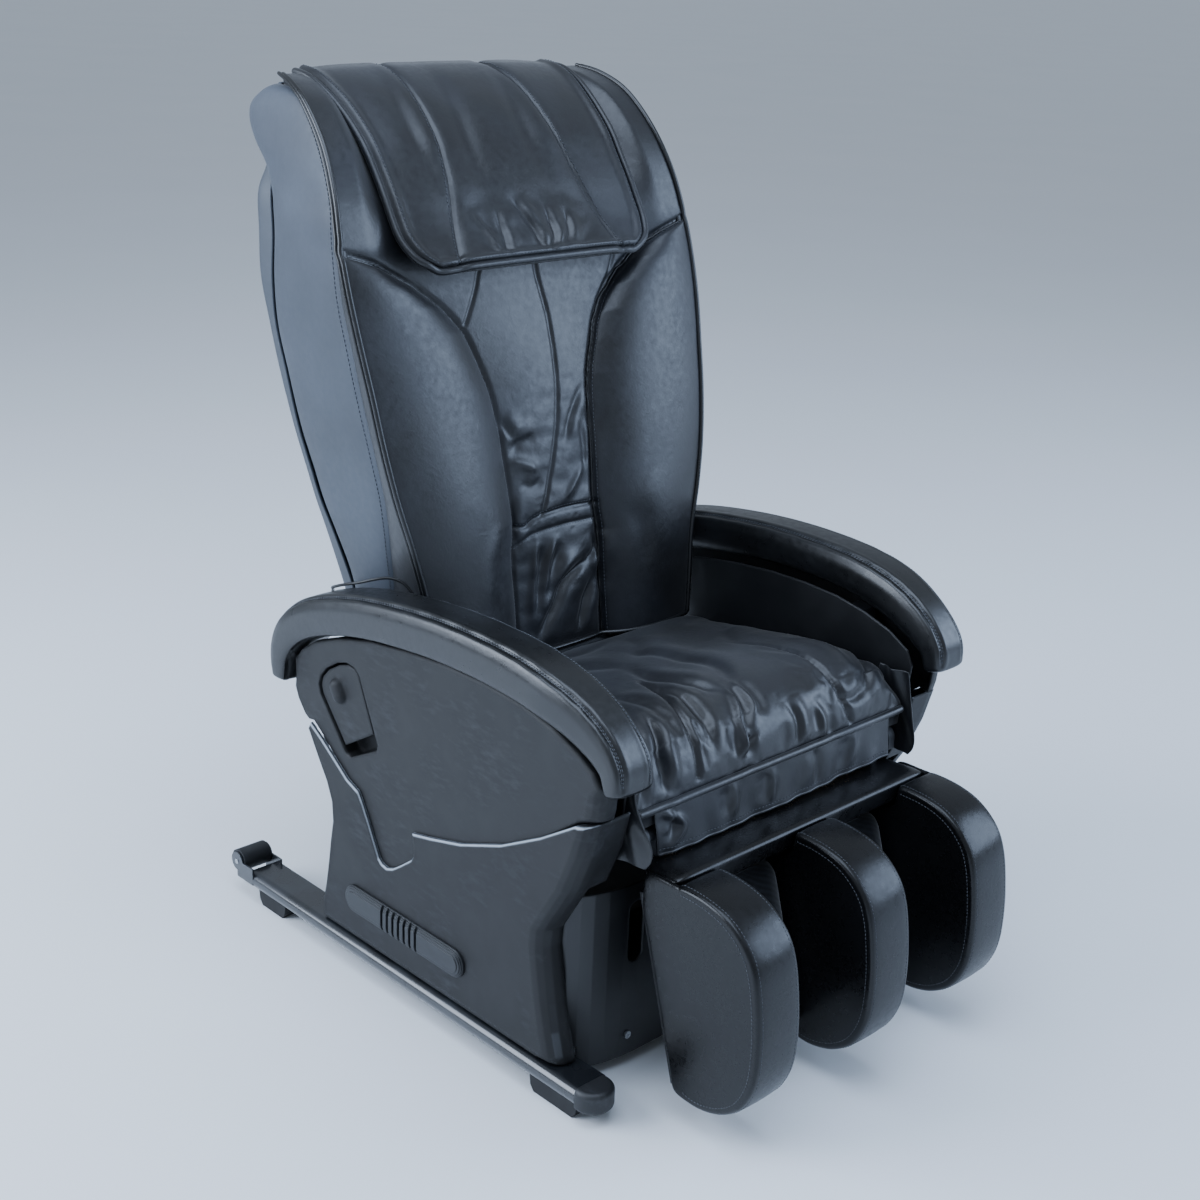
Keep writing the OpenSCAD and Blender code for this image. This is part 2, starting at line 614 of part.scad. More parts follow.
// Ribbed grips low on the side covers: a rounded capsule with grooves between its ribs
module side_grip_left() {
  x = lower_half + eps;
  y0 = -54;
  y1 = 196;
  z = 110;
  r = 20;
  pitch = 72 / grip_ribs;
  module capsule(inwards, from, to) {
    translate([x + from, 0, 0]) rotate([90, 0, 90]) linear_extrude(height = to - from) {
      translate([y0 + r, z - r + inwards]) square([y1 - y0 - 2 * r, 2 * r - 2 * inwards]);
      for (y = [y0 + r, y1 - r]) translate([y, z]) circle(r - inwards);
    }
  }
  color("#2c2e32") difference() {
    union() {
      capsule(0, 0, 3);
      capsule(1.5, 2.5, 5);
      capsule(4, 4.5, 6.5);
      capsule(8, 6, 7.5);
    }
    for (k = [0:grip_ribs]) translate([x + 2.5, 36 + pitch * k, z - r - 1]) cube([9, 5, 2 * r + 2]);
  }
}

module side_grip_right() {
  right_side() side_grip_left();
}

// Arms: arched pads with a flattened round section
function round_box(t, p) = [sign(cos(t)) * pow(abs(cos(t)), 2 / p), sign(sin(t)) * pow(abs(sin(t)), 2 / p)];

module arm_pad_left() {
  n = 24;
  m = 20;
  mids = along(arm_line, n);
  mid_x = arm_half - arm_w / 2;
  stops = [for (i = [0:n]) let (a = mids[max(i - 1, 0)], b = mids[min(i + 1, n)],
    d = [b[0] - a[0], b[1] - a[1]]) [mids[i], d / norm(d)]];
  function ring(s, f, shift) = [for (k = [0:m - 1]) let (q = round_box(360 * k / m, 3.2))
    [mid_x + f * q[0] * arm_w / 2,
      s[0][0] + shift * s[1][0] + f * q[1] * s[0][2] / 2 * s[1][1],
      s[0][1] + shift * s[1][1] - f * q[1] * s[0][2] / 2 * s[1][0]]];
  color("#141518") skin(concat([ring(stops[0], 0.72, -6), ring(stops[0], 0.93, -3)],
    [for (s = stops) ring(s, 1, 0)], [ring(stops[n], 0.93, 3), ring(stops[n], 0.72, 6)]));
}

module arm_pad_right() {
  right_side() arm_pad_left();
}

// Inner panels of the arms, beside the seat
module inner_panel_left() {
  low = [[-258, 370], [-252, 356], [250, 356], [300, 390]];
  high = [for (p = arm_under) [max(p[0], -268), p[1] - 3]];
  color("#17181b") slice(concat(low, high), 265.2, 267.8);
}

module inner_panel_right() {
  right_side() inner_panel_left();
}

// Recline mechanism: the back's lever moves a push rod that swings the leg rest; a gas spring holds it
gas_x = 60;

module gas_spring() {
  color("#1d1e20") difference() {
    union() {
      bar_y(14, gas_x, push_z, -204, -36);
      box([gas_x - 6, -163, push_z], [gas_x + 6, -142, 322 - eps]);
    }
    bar_y(5.06, gas_x, push_z, -190, -30);
  }
}

module push_rod() {
  color("#b4b6ba") difference() {
    union() {
      box([-5, pin_c[0], push_z - 8], [5, pin_a[0], push_z + 8]);
      box([-5, pin_a[0] - 18, 290], [5, pin_a[0] + 18, 336]);
      box([-5, pin_c[0] - 18, 270], [5, pin_c[0] + 18, 322]);
      box([-5, 38, push_z - 8], [gas_x + 8, 48, push_z + 8]);
      bar_y(5, gas_x, push_z, -100, 40);
    }
    box([-9, pin_a[0] - 7.2, 301], [9, pin_a[0] + 7.2, 325.5]);
    box([-9, pin_c[0] - 7.6, 281], [9, pin_c[0] + 7.6, 310.5]);
  }
}

module back_frame() {
  color("#2a2b2e") {
    on_back() {
      for (s = [-1, 1]) scale([s, 1, 1]) {
        box([196, 20, 40], [216, 45, 640]);
        box([196, 40, 610], [216, 62, 697]);
        difference() {
          union() {
            box([216, -12, 0], [224, 45, 84]);
            bar_x(16, 0, 0, 216, 224);
          }
          bar_x(pin_r + 0.05, 0, 0, 210, 230);
        }
      }
      for (v = [40, 672]) difference() {
        box([-211, 44, v], [211, 114, v + 25]);
        for (x = [-guide_x, 0, guide_x]) translate([x, 97, v - 1]) cylinder(r = 8.05, h = 27);
      }
      bar_x(12, 0, 0, -216, 216);
    }
    translate([0, hinge_y, hinge_z]) rotate([recline_max / 2, 0, 0])
      box([8, -11, -back_arm - 9], [16, 11, 0]);
    bar_x(6, pin_a[0], pin_a[1], -8, 16);
  }
}

// Massage unit in the back
module guide_rails() {
  color("#c4c6ca") on_back() for (x = [-guide_x, guide_x]) translate([x, 97, 42]) cylinder(r = 8, h = 653);
}

module lead_screw() {
  color("#a9abb0") on_back() {
    translate([0, 97, 42]) cylinder(r = 8, h = 22);
    translate([0, 97, 64]) cylinder(r = 7, h = 609);
    translate([0, 97, 673]) cylinder(r = 8, h = 22);
  }
}

knead_y = 72;
wheel_y = 40;
wheel_v = 58;

module carriage() {
  color("#54575c") on_back() {
    difference() {
      box([-145, 85, unit_v - 60], [145, 109, unit_v + 60]);
      for (x = [-guide_x, guide_x]) translate([x, 97, unit_v - 61]) cylinder(r = 8.06, h = 122);
      translate([0, 97, unit_v - 61]) cylinder(r = 7.1, h = 122);
    }
    box([-20, knead_y - 10, unit_v - 12], [20, 86, unit_v + 12]);
    bar_x(6, knead_y, unit_v, -72, 72);
  }
}

module unit_motors() {
  color("#303236") on_back() for (x = [-62, 62]) {
    translate([x, 109 + eps + 19, unit_v - 8]) cylinder(r = 19, h = 80);
    translate([x, 109 + eps + 19, unit_v + 71]) cylinder(r = 9, h = 12);
  }
}

module knead_arm_left() {
  color("#6a6d72") on_back() {
    difference() {
      union() {
        bar_x(12, knead_y, unit_v, 53, 67);
        box([54, wheel_y - 7, unit_v - wheel_v - 8], [66, wheel_y + 12, unit_v + wheel_v + 8]);
        box([54, wheel_y, unit_v - 13], [66, knead_y, unit_v + 13]);
      }
      bar_x(6.05, knead_y, unit_v, 50, 70);
    }
    for (v = [-wheel_v, wheel_v]) bar_x(5, wheel_y, unit_v + v, 60, 97);
  }
}

module knead_arm_right() {
  right_side() knead_arm_left();
}

module wheel(v) {
  color("#d8d3c4") on_back() difference() {
    union() {
      bar_x(wheel_r, wheel_y, unit_v + v, 72, 90);
      bar_x(wheel_r - 4, wheel_y, unit_v + v, 69, 93);
    }
    bar_x(5.05, wheel_y, unit_v + v, 60, 100);
  }
}

module wheel_left_upper() {
  wheel(wheel_v);
}

module wheel_left_lower() {
  wheel(-wheel_v);
}

module wheel_right_upper() {
  right_side() wheel(wheel_v);
}

module wheel_right_lower() {
  right_side() wheel(-wheel_v);
}

// Back: rear shell and side panels
module back_shell() {
  half = [[1, 0, 0], [1, 0.7, 1], [0.988, 0.92, 3], [0.955, 1, 4], [0.8, 1, 4], [0.5, 1, 4]];
  cols = concat(half, [[0, 1, 4]], [for (i = [5:-1:0]) [-half[i][0], half[i][1], half[i][2]]]);
  function y(p, c) = p[1] + 2 + p[3] * c[1] + shell_crown * (1 - c[0] * c[0]) * (1 - ease(p[0], 1000, 1090));
  color("#5a5e62") slab([for (p = shell_form) [for (c = cols) [c[0] * p[2], y(p, c), p[0]]]],
    [for (p = shell_form) [for (c = cols) [c[0] * (p[2] - 4), y(p, c) - c[2], p[0]]]]);
}

module back_side_left() {
  cols = [0, 0.08, 0.3, 0.6, 0.9, 1];
  function x(p, t) = mix(p[3], p[4], t) - 5 * pow(abs(2 * t - 1), 6) + 1;
  color("#5b6168") slab([for (p = side_form) [for (t = cols) [x(p, t), mix(p[1], p[2], t), p[0]]]],
    [for (p = side_form) [for (t = cols) [x(p, t) - 11, mix(p[1], p[2], t), p[0]]]]);
}

module back_side_right() {
  right_side() back_side_left();
}

// Back cushion: side bolsters round a lower middle panel, and a hollow for the headrest above
back_cols = [-1, -0.96, -0.88, -0.76, -0.64, -0.52, -0.42, -0.35, -0.3, -0.24, -0.12, 0,
  0.12, 0.24, 0.3, 0.35, 0.42, 0.52, 0.64, 0.76, 0.88, 0.96, 1];
function seam_at(z) = 0.3 + 0.45 * ease(z, 800, 985);
function bolster(u, z) = let (s = seam_at(z), k = cut(u, s, 1))
  u < s ? -30 + 5 * (1 - pow(u / s, 2)) : -30 * pow(1 - k, 3) + 19 * pow(sin(180 * pow(k, 0.8)), 0.8);
function head_bed(u, z) = mix(-16, -44, ease(z, 940, 1090)) * (1 - ease(u, 0.72, 0.97));
function rise(u, z) = mix(bolster(u, z), head_bed(u, z), ease(z, 900, 975));
function out_of(a, b) = let (d = [b[1] - a[1], b[2] - a[2]]) [-d[1], d[0]] / norm(d);
function back_point(p, n, u, h) = [u * p[0], p[1] + h * n[0], p[2] + h * n[1]];

module back_cushion() {
  n = 24;
  line = along(back_edge, n);
  way = [for (i = [0:n]) out_of(line[max(i - 1, 0)], line[min(i + 1, n)])];
  color("#1c1d21") slab([for (i = [0:n]) [for (u = back_cols)
      back_point(line[i], way[i], u, rise(abs(u), line[i][2]) * (i == 0 ? 0.5 : 1))]],
    [for (i = [0:n]) [for (u = back_cols) back_point(line[i], way[i], u * 0.985,
      min(-13, rise(abs(u), line[i][2]) - mix(20, 13, max(ease(line[i][2], 1060, 1130), ease(abs(u), 0.8, 1)))))]]);
}

// Headrest flap, over the top of the back: [half width, y, z] down its edge
flap_edge = [[172, 203, 941], [200, 215, 954], [213, 234, 976], [215, 250, 1000], [215, 267, 1028],
  [215, 286, 1056], [216, 306, 1084], [217, 330, 1108], [219, 358, 1131], [222, 388, 1150],
  [223, 418, 1162], [222, 446, 1165]];

module headrest_flap() {
  n = 16;
  cols = [-1, -0.96, -0.86, -0.72, -0.6, -0.52, -0.44, -0.3, -0.15, 0, 0.15, 0.3, 0.44, 0.52, 0.6, 0.72, 0.86,
    0.96, 1];
  line = along(flap_edge, n);
  way = [for (i = [0:n]) out_of(line[max(i - 1, 0)], line[min(i + 1, n)])];
  function crown(u, s) = (1 - pow(abs(u), 4)) * 8 - 4 * exp(-pow((abs(u) - mix(0.68, 0.42, s)) / 0.07, 2));
  color("#1c1d21") slab([for (i = [0:n]) [for (u = cols) back_point(line[i], way[i], u, 4 + crown(u, i / n))]],
    [for (i = [0:n]) [for (u = cols) back_point(line[i], way[i], u, crown(u, i / n) * 0.3
      + 4 - mix(8, head_pad - 8, 1 - pow(abs(u), 4)))]]);
}

// Leg rest
module leg_frame() {
  arm = [[-262, 350], [-248, 350], [-252, 282], [-315, 66], [-329.3, 70], [-267.6, 281]];
  color("#2a2b2e") {
    bar_x(10, leg_y, leg_z, -226, 226);
    for (s = [-1, 1]) bar_x(8, leg_y, leg_z, s * 232 - 7, s * 232 + 7);
    for (x = [-212, 200]) slice(arm, x, x + 12);
    box([-206, -318, 84], [206, -306, 102]);
    translate([0, leg_y, leg_z]) rotate([leg_max / 2, 0, 0]) box([8, -9, -leg_arm - 9], [16, 9, 3]);
    bar_x(6, pin_c[0], pin_c[1], -8, 16);
  }
}

module leg_board() {
  color("#26272a") slice([[-279.5, 284], [-347.5, 50], [-336.5, 47], [-268, 281]], -240, 240);
}

module fin(x) {
  h = fin_w / 2;
  form = [[-h, 9], [-h + 1.5, 4.5], [-h + 5, 2], [-h + 13, 0.7], [0, 0], [h - 13, 0.7], [h - 5, 2],
    [h - 1.5, 4.5], [h, 9]];
  color("#131417") skin([for (f = form) [for (p = inset(fin_side, f[1])) [x + f[0], p[0], p[1]]]]);
}

module fin_right() {
  fin(-fin_pitch);
}

module fin_middle() {
  fin(0);
}

module fin_left() {
  fin(fin_pitch);
}

// Padded wells for the calves, between the fins
module calf_pads() {
  side = [[-286.5, 268], [-300, 271], [-316, 258], [-370, 78], [-364, 64], [-348, 59]];
  h = (fin_pitch - fin_w) / 2 - 2.5;
  form = [[-h, 6], [-h + 4, 1.5], [-h + 14, 0], [0, 1.5], [h - 14, 0], [h - 4, 1.5], [h, 6]];
  color("#0f1012") for (s = [-1, 1])
    skin([for (f = form) [for (p = inset(side, f[1])) [s * fin_pitch / 2 + f[0], p[0], p[1]]]]);
}

module leg_top_pad() {
  side = [[-322, 294], [-323, 306], [-320, 316], [-312, 320], [-300, 320], [-292, 316], [-288, 306],
    [-289, 295], [-295, 290], [-316, 290]];
  color("#151619") skin([for (f = [[-236, 7], [-233, 2], [-226, 0], [-80, -0.5], [80, -0.5], [226, 0], [233, 2],
    [236, 7]]) [for (p = inset(turned(side), f[1])) [f[0], p[0], p[1]]]]);
}

rail_right();
rail_left();
rail_cap_right();
rail_cap_left();
floor_pads();
roller_axles();
roller_right();
roller_left();
base_frame();
control_box();
kick_panel();
kick_screws();
rear_panel();
mains_inlet();
power_switch();
handset_socket();
handset_cord();
handset();
seat_frame();
seat_board();
seat_cushion();
seat_skirt();
side_skirt_right();
side_skirt_left();
lower_cover_right();
lower_cover_left();
upper_cover_right();
upper_cover_left();
side_grip_right();
side_grip_left();
arm_pad_right();
arm_pad_left();
inner_panel_right();
inner_panel_left();
recline_lever();
gas_spring();
push_rod();
back_frame();
guide_rails();
lead_screw();
carriage();
unit_motors();
knead_arm_right();
knead_arm_left();
wheel_right_upper();
wheel_right_lower();
wheel_left_upper();
wheel_left_lower();
back_shell();
back_side_right();
back_side_left();
back_cushion();
headrest_flap();
leg_frame();
leg_board();
fin_right();
fin_middle();
fin_left();
calf_pads();
leg_top_pad();
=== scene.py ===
"""Looks of a household massage chair: upholstery, finishes, handset lead, floor, light and camera.

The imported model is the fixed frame. Sizes are in millimetres and turn to metres when a mesh is made.
Front is -Y, the sitter's right is -X and up is +Z.
"""

import logging
import math
from dataclasses import dataclass, field
from enum import Enum
from typing import Optional, Sequence, Union

import bpy
import numpy as np
from mathutils import Matrix, Vector


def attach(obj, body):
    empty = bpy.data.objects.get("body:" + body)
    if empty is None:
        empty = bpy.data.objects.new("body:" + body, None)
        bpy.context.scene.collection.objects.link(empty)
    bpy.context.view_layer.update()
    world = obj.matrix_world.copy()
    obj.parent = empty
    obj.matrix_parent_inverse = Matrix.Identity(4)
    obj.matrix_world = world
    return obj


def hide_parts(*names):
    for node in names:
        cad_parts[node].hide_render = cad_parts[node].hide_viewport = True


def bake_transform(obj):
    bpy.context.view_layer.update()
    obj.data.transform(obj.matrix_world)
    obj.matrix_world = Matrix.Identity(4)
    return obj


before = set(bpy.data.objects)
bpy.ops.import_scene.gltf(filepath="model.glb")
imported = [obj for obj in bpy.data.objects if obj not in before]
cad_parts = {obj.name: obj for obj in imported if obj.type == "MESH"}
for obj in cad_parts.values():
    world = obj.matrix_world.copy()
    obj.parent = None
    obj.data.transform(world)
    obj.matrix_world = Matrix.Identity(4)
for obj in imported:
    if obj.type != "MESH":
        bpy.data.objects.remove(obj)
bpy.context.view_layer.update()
LOG = logging.getLogger("massage_chair")
MM = 0.001

Array = np.ndarray
Point = Sequence[float]
Fold = tuple[Sequence[Point], float, float]
Shape = tuple[Array, list]
Material = bpy.types.Material
Socket = bpy.types.NodeSocket
Thing = bpy.types.Object


class Side(Enum):
    """Side of the chair, as the sign of x."""

    RIGHT = -1
    LEFT = 1

    @property
    def word(self) -> str:
        """Name of the side as it ends a node's name."""
        return self.name.lower()


# Curves and grids


def smooth(points: Sequence[Point], count: int, space: int = 3) -> Array:
    """Takes even steps along a smooth curve through the given points.

    Args:
        points: Points to pass through. Columns past `space` ride along.
        count: Number of points wanted.
        space: Number of columns that measure distance.

    Returns:
        The points of the curve, one a row.
    """
    given = np.asarray(points, float)
    ends = np.vstack([2 * given[0] - given[1], given, 2 * given[-1] - given[-2]])
    t = np.linspace(0, 1, 24, endpoint=False)[:, None]
    parts = [
        0.5 * (2 * b + (c - a) * t + (2 * a - 5 * b + 4 * c - d) * t**2 + (3 * b - a - 3 * c + d) * t**3)
        for a, b, c, d in zip(ends, ends[1:], ends[2:], ends[3:])
    ]
    dense = np.vstack([*parts, given[-1:]])
    steps = np.linalg.norm(np.diff(dense[:, :space], axis=0), axis=1)
    reach = np.concatenate([[0.0], np.cumsum(steps)])
    want = np.linspace(0, reach[-1], count)
    return np.stack([np.interp(want, reach, dense[:, k]) for k in range(dense.shape[1])], axis=1)


def ease(value: Array, low: float, high: float) -> Array:
    """Rises smoothly from 0 at low to 1 at high."""
    s = np.clip((np.asarray(value, float) - low) / (high - low), 0, 1)
    return s * s * (3 - 2 * s)


def bell(value: Array, width: float) -> Array:
    """Falls smoothly from 1 at zero to almost nothing past twice the width."""
    return np.exp(-((np.asarray(value, float) / width) ** 2))


def unit(vectors: Array) -> Array:
    """Scales vectors to length one."""
    return vectors / np.maximum(np.linalg.norm(vectors, axis=-1, keepdims=True), 1e-9)


def away(points: Array, line: Array) -> Array:
    """Measures the distance of each point from a line of points.

    Args:
        points: Points in any grid, with the coordinates last.
        line: Points along the line, close together.

    Returns:
        The distances, in the grid's own shape.
    """
    flat = points.reshape(-1, points.shape[-1])
    best = np.full(len(flat), np.inf)
    for spot in line:
        best = np.minimum(best, np.einsum("ij,ij->i", flat - spot, flat - spot))
    return np.sqrt(best).reshape(points.shape[:-1])


def crease(plan: Array, line: Sequence[Point], wide: float, deep: float) -> Array:
    """Draws one fold of slack leather: a sharp valley with a rounded ridge that leans over it from its left.

    Args:
        plan: Flat place of each point, in two columns.
        line: Points along the fold.
        wide: Width of the fold in mm.
        deep: Depth in mm. A fold below zero is a ridge with a soft valley on its left.

    Returns:
        The height that the fold adds, in the grid's own shape. It fades at both ends of the line.
    """
    fine = smooth(line, 60, 2)
    flat = plan.reshape(-1, 2)
    gaps = flat[:, None] - fine[None]
    near = np.argmin(np.einsum("ijk,ijk->ij", gaps, gaps), axis=1)
    gap = gaps[np.arange(len(flat)), near]
    way = unit(np.gradient(fine, axis=0))[near]
    far = np.copysign(np.linalg.norm(gap, axis=1), way[:, 0] * gap[:, 1] - way[:, 1] * gap[:, 0])
    share = near / (len(fine) - 1)
    fade = ease(share, -0.1, 0.3) * (1 - ease(share, 0.7, 1.1))
    ridge = 0.8 * bell(far - 1.3 * wide, wide) + 0.25 * bell(far + 1.3 * wide, 1.2 * wide)
    return (deep * fade * (ridge - bell(far, 0.5 * wide))).reshape(plan.shape[:-1])


def creases(plan: Array, folds: Sequence[Fold]) -> Array:
    """Adds up the heights of folds, each given by its line, width and depth."""
    return sum(crease(plan, *fold) for fold in folds)


def sewn(gap: Array, width: float, firm: float, edge: int = 3) -> Array:
    """Says how firmly each point of a cover is sewn down.

    Args:
        gap: Distance of each point from the nearest seam.
        width: Distance over which the hold fades.
        firm: Distance up to which the hold is full.
        edge: Number of columns that are sewn down along the right and left edges.

    Returns:
        The hold from 0 to 1, for each point of the grid.
    """
    held = bell(gap, width)
    held[gap < firm] = 1
    held[:3] = held[-3:] = 1
    held[:, :edge] = held[:, -edge:] = 1
    return held


def raised(line: Array, x: Array, height: Array) -> Array:
    """Raises a grid off an edge line.

    Args:
        line: Edge line, one point a row: half width, y, z.
        x: Place across, for each point of the grid.
        height: Distance in front of the line, for each point of the grid.

    Returns:
        Points of the grid.
    """
    way = unit(np.gradient(line[:, 1:], axis=0))
    return np.stack([x, line[:, 1:2] - way[:, 1:] * height, line[:, 2:3] + way[:, :1] * height], axis=-1)


def closed(outline: Sequence[Point], count: int) -> Array:
    """Takes even steps round a smooth closed outline of y and z."""
    return smooth([*outline, outline[0]], count + 1, 2)[:-1]


def shrunk(outline: Array, inset: float) -> Array:
    """Moves a closed outline, which runs the right-hand way round, inwards by a distance."""
    way = unit(np.roll(outline, -1, 0) - np.roll(outline, 1, 0))
    return outline + inset * np.stack([-way[:, 1], way[:, 0]], axis=1)


def stood(x: float, outline: Array) -> Array:
    """Stands an outline of y and z at one x."""
    return np.column_stack([np.full(len(outline), x), outline])


def normals(grid: Array, around: bool = False) -> Array:
    """Gives the outward direction at each point of a grid whose columns go right and rows go up.

    Args:
        grid: Points of the grid.
        around: True where the last column joins the first.

    Returns:
        Unit vectors, one for each point.
    """
    across = (np.roll(grid, -1, 1) - np.roll(grid, 1, 1)) if around else np.gradient(grid, axis=1)
    return unit(np.cross(across, np.gradient(grid, axis=0)))


def finer(grid: Array) -> Array:
    """Puts a smooth point between each two points of a grid, along its rows and its columns.

    Args:
        grid: Points of the grid.

    Returns:
        The finer grid.
    """
    for axis in (0, 1):
        given = np.moveaxis(grid, axis, 0)
        ends = np.concatenate([2 * given[:1] - given[1:2], given, 2 * given[-1:] - given[-2:-1]])
        dense = np.empty((2 * len(given) - 1, *given.shape[1:]))
        dense[::2] = given
        dense[1::2] = (9 * (ends[1:-2] + ends[2:-1]) - ends[:-3] - ends[3:]) / 16
        grid = np.moveaxis(dense, 0, axis)
    return grid


def quads(rows: int, cols: int, start: int = 0, around: bool = False, flip: bool = False) -> list:
    """Lists the faces of a grid of points.

    Args:
        rows: Number of rows.
        cols: Number of columns.
        start: Number of the first point.
        around: True where the last column joins the first.
        flip: True for a grid seen from behind.

    Returns:
        Faces of four point numbers.
    """
    i, j = np.meshgrid(np.arange(rows - 1), np.arange(cols if around else cols - 1), indexing="ij")
    a = start + i * cols + j
    b = start + i * cols + (j + 1) % cols
    faces = np.stack([a, b, b + cols, a + cols], axis=-1).reshape(-1, 4)
    return (faces[:, ::-1] if flip else faces).tolist()


def slab(outer: Array, inner: Array, turned: bool = False) -> Shape:
    """Closes two grids of one size into a pad.

    Args:
        outer: Grid that shows, with columns to the right and rows up.
        inner: Grid behind it.
        turned: True where the columns of both grids go left.

    Returns:
        Points and faces.
    """
    if turned:
        outer, inner = outer[:, ::-1], inner[:, ::-1]
    rows, cols = outer.shape[:2]
    size = rows * cols
    faces = quads(rows, cols) + quads(rows, cols, size, flip=True)
    rim = [i * cols for i in range(rows)][::-1] + list(range(1, cols))
    rim += [i * cols + cols - 1 for i in range(1, rows)] + list(range((rows - 1) * cols + 1, size - 1))[::-1]
    faces += [[b, a, a + size, b + size] for a, b in zip(rim, rim[1:] + rim[:1])]
    return np.vstack([outer.reshape(-1, 3), inner.reshape(-1, 3)]), faces


def loft(rings: Array) -> Shape:
    """Closes a row of rings into a skin with a fan of faces on each end.

    Args:
        rings: Points of the rings, which run the right-hand way about their path.

    Returns:
        Points and faces.
    """
    rows, cols = rings.shape[:2]
    faces = quads(rows, cols, around=True)
    points = np.vstack([rings.reshape(-1, 3), rings[0].mean(0), rings[-1].mean(0)])
    first, last = rows * cols, rows * cols + 1
    faces += [[first, (j + 1) % cols, j] for j in range(cols)]
    faces += [[last, last - 1 - cols + j, last - 1 - cols + (j + 1) % cols] for j in range(cols)]
    return points, faces


def tube(path: Array, radius: Union[float, Array], sides: int = 8) -> Shape:
    """Sweeps a round section along a path.

    Args:
        path: Points of the path.
        radius: One radius, or one for each point.
        sides: Number of sides of the section.

    Returns:
        Points and faces.
    """
    along = unit(np.gradient(path, axis=0))
    side = np.cross(along[0], [0.0, 0.0, 1.0] if abs(along[0][2]) < 0.9 else [1.0, 0.0, 0.0])
    turn = np.linspace(0, 2 * math.pi, sides, endpoint=False)[:, None]
    rings = []
    for spot, way, r in zip(path, along, np.broadcast_to(radius, len(path))):
        side = unit(side - way * (side @ way))
        rings.append(spot + r * (np.cos(turn) * side + np.sin(turn) * np.cross(way, side)))
    return loft(np.array(rings))


def merged(shapes: Sequence[Shape]) -> Shape:
    """Joins shapes into one.

    Args:
        shapes: Points and faces of each shape.

    Returns:
        Points and faces of them all.
    """
    points, faces, start = [], [], 0
    for some, more in shapes:
        points.append(some)
        faces += [[start + k for k in face] for face in more]
        start += len(some)
    return np.vstack(points), faces


def stitches(path: Array, pitch: float = 5.5, radius: float = 0.45) -> Shape:
    """Lays a row of thread stitches along a path.

    Args:
        path: Points of the seam on the surface.
        pitch: Distance from stitch to stitch in mm.
        radius: Half the thickness of the thread in mm.

    Returns:
        Points and faces of all stitches.
    """
    length = np.linalg.norm(np.diff(path, axis=0), axis=1).sum()
    count = max(2, int(length / pitch))
    fine = smooth(path, count * 4 + 1)
    taper = np.array([0.35, 1.0, 1.0, 0.35]) * radius
    return merged([tube(fine[4 * k:4 * k + 4], taper, 5) for k in range(count)])


def make(name: str, shape: Shape, finish: Material, body: str = "", level: int = 0,
         node: str = "") -> Thing:
    """Makes a smooth mesh piece that rides on a body, and hides the node that it stands for, if any.

    Args:
        name: Name of the piece.
        shape: Points in mm, and faces.
        finish: Its material.
        body: The body that carries it, or nothing for a piece that is left unattached.
        level: Number of subdivisions.
        node: Node that it stands for, or nothing for an added piece.

    Returns:
        The new piece.
    """
    points, faces = shape
    mesh = bpy.data.meshes.new(name)
    mesh.from_pydata((points * MM).tolist(), [], faces)
    mesh.polygons.foreach_set("use_smooth", [True] * len(mesh.polygons))
    mesh.materials.append(finish)
    mesh.update()
    piece = bpy.data.objects.new(name, mesh)
    bpy.context.scene.collection.objects.link(piece)
    if level:
        fine = piece.modifiers.new("fine", "SUBSURF")
        fine.levels = fine.render_levels = level
    if body:
        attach(piece, body)
    if node:
        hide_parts(node)
    LOG.info("%s: %d points on %s", name, len(points), body or "two bodies")
    return piece


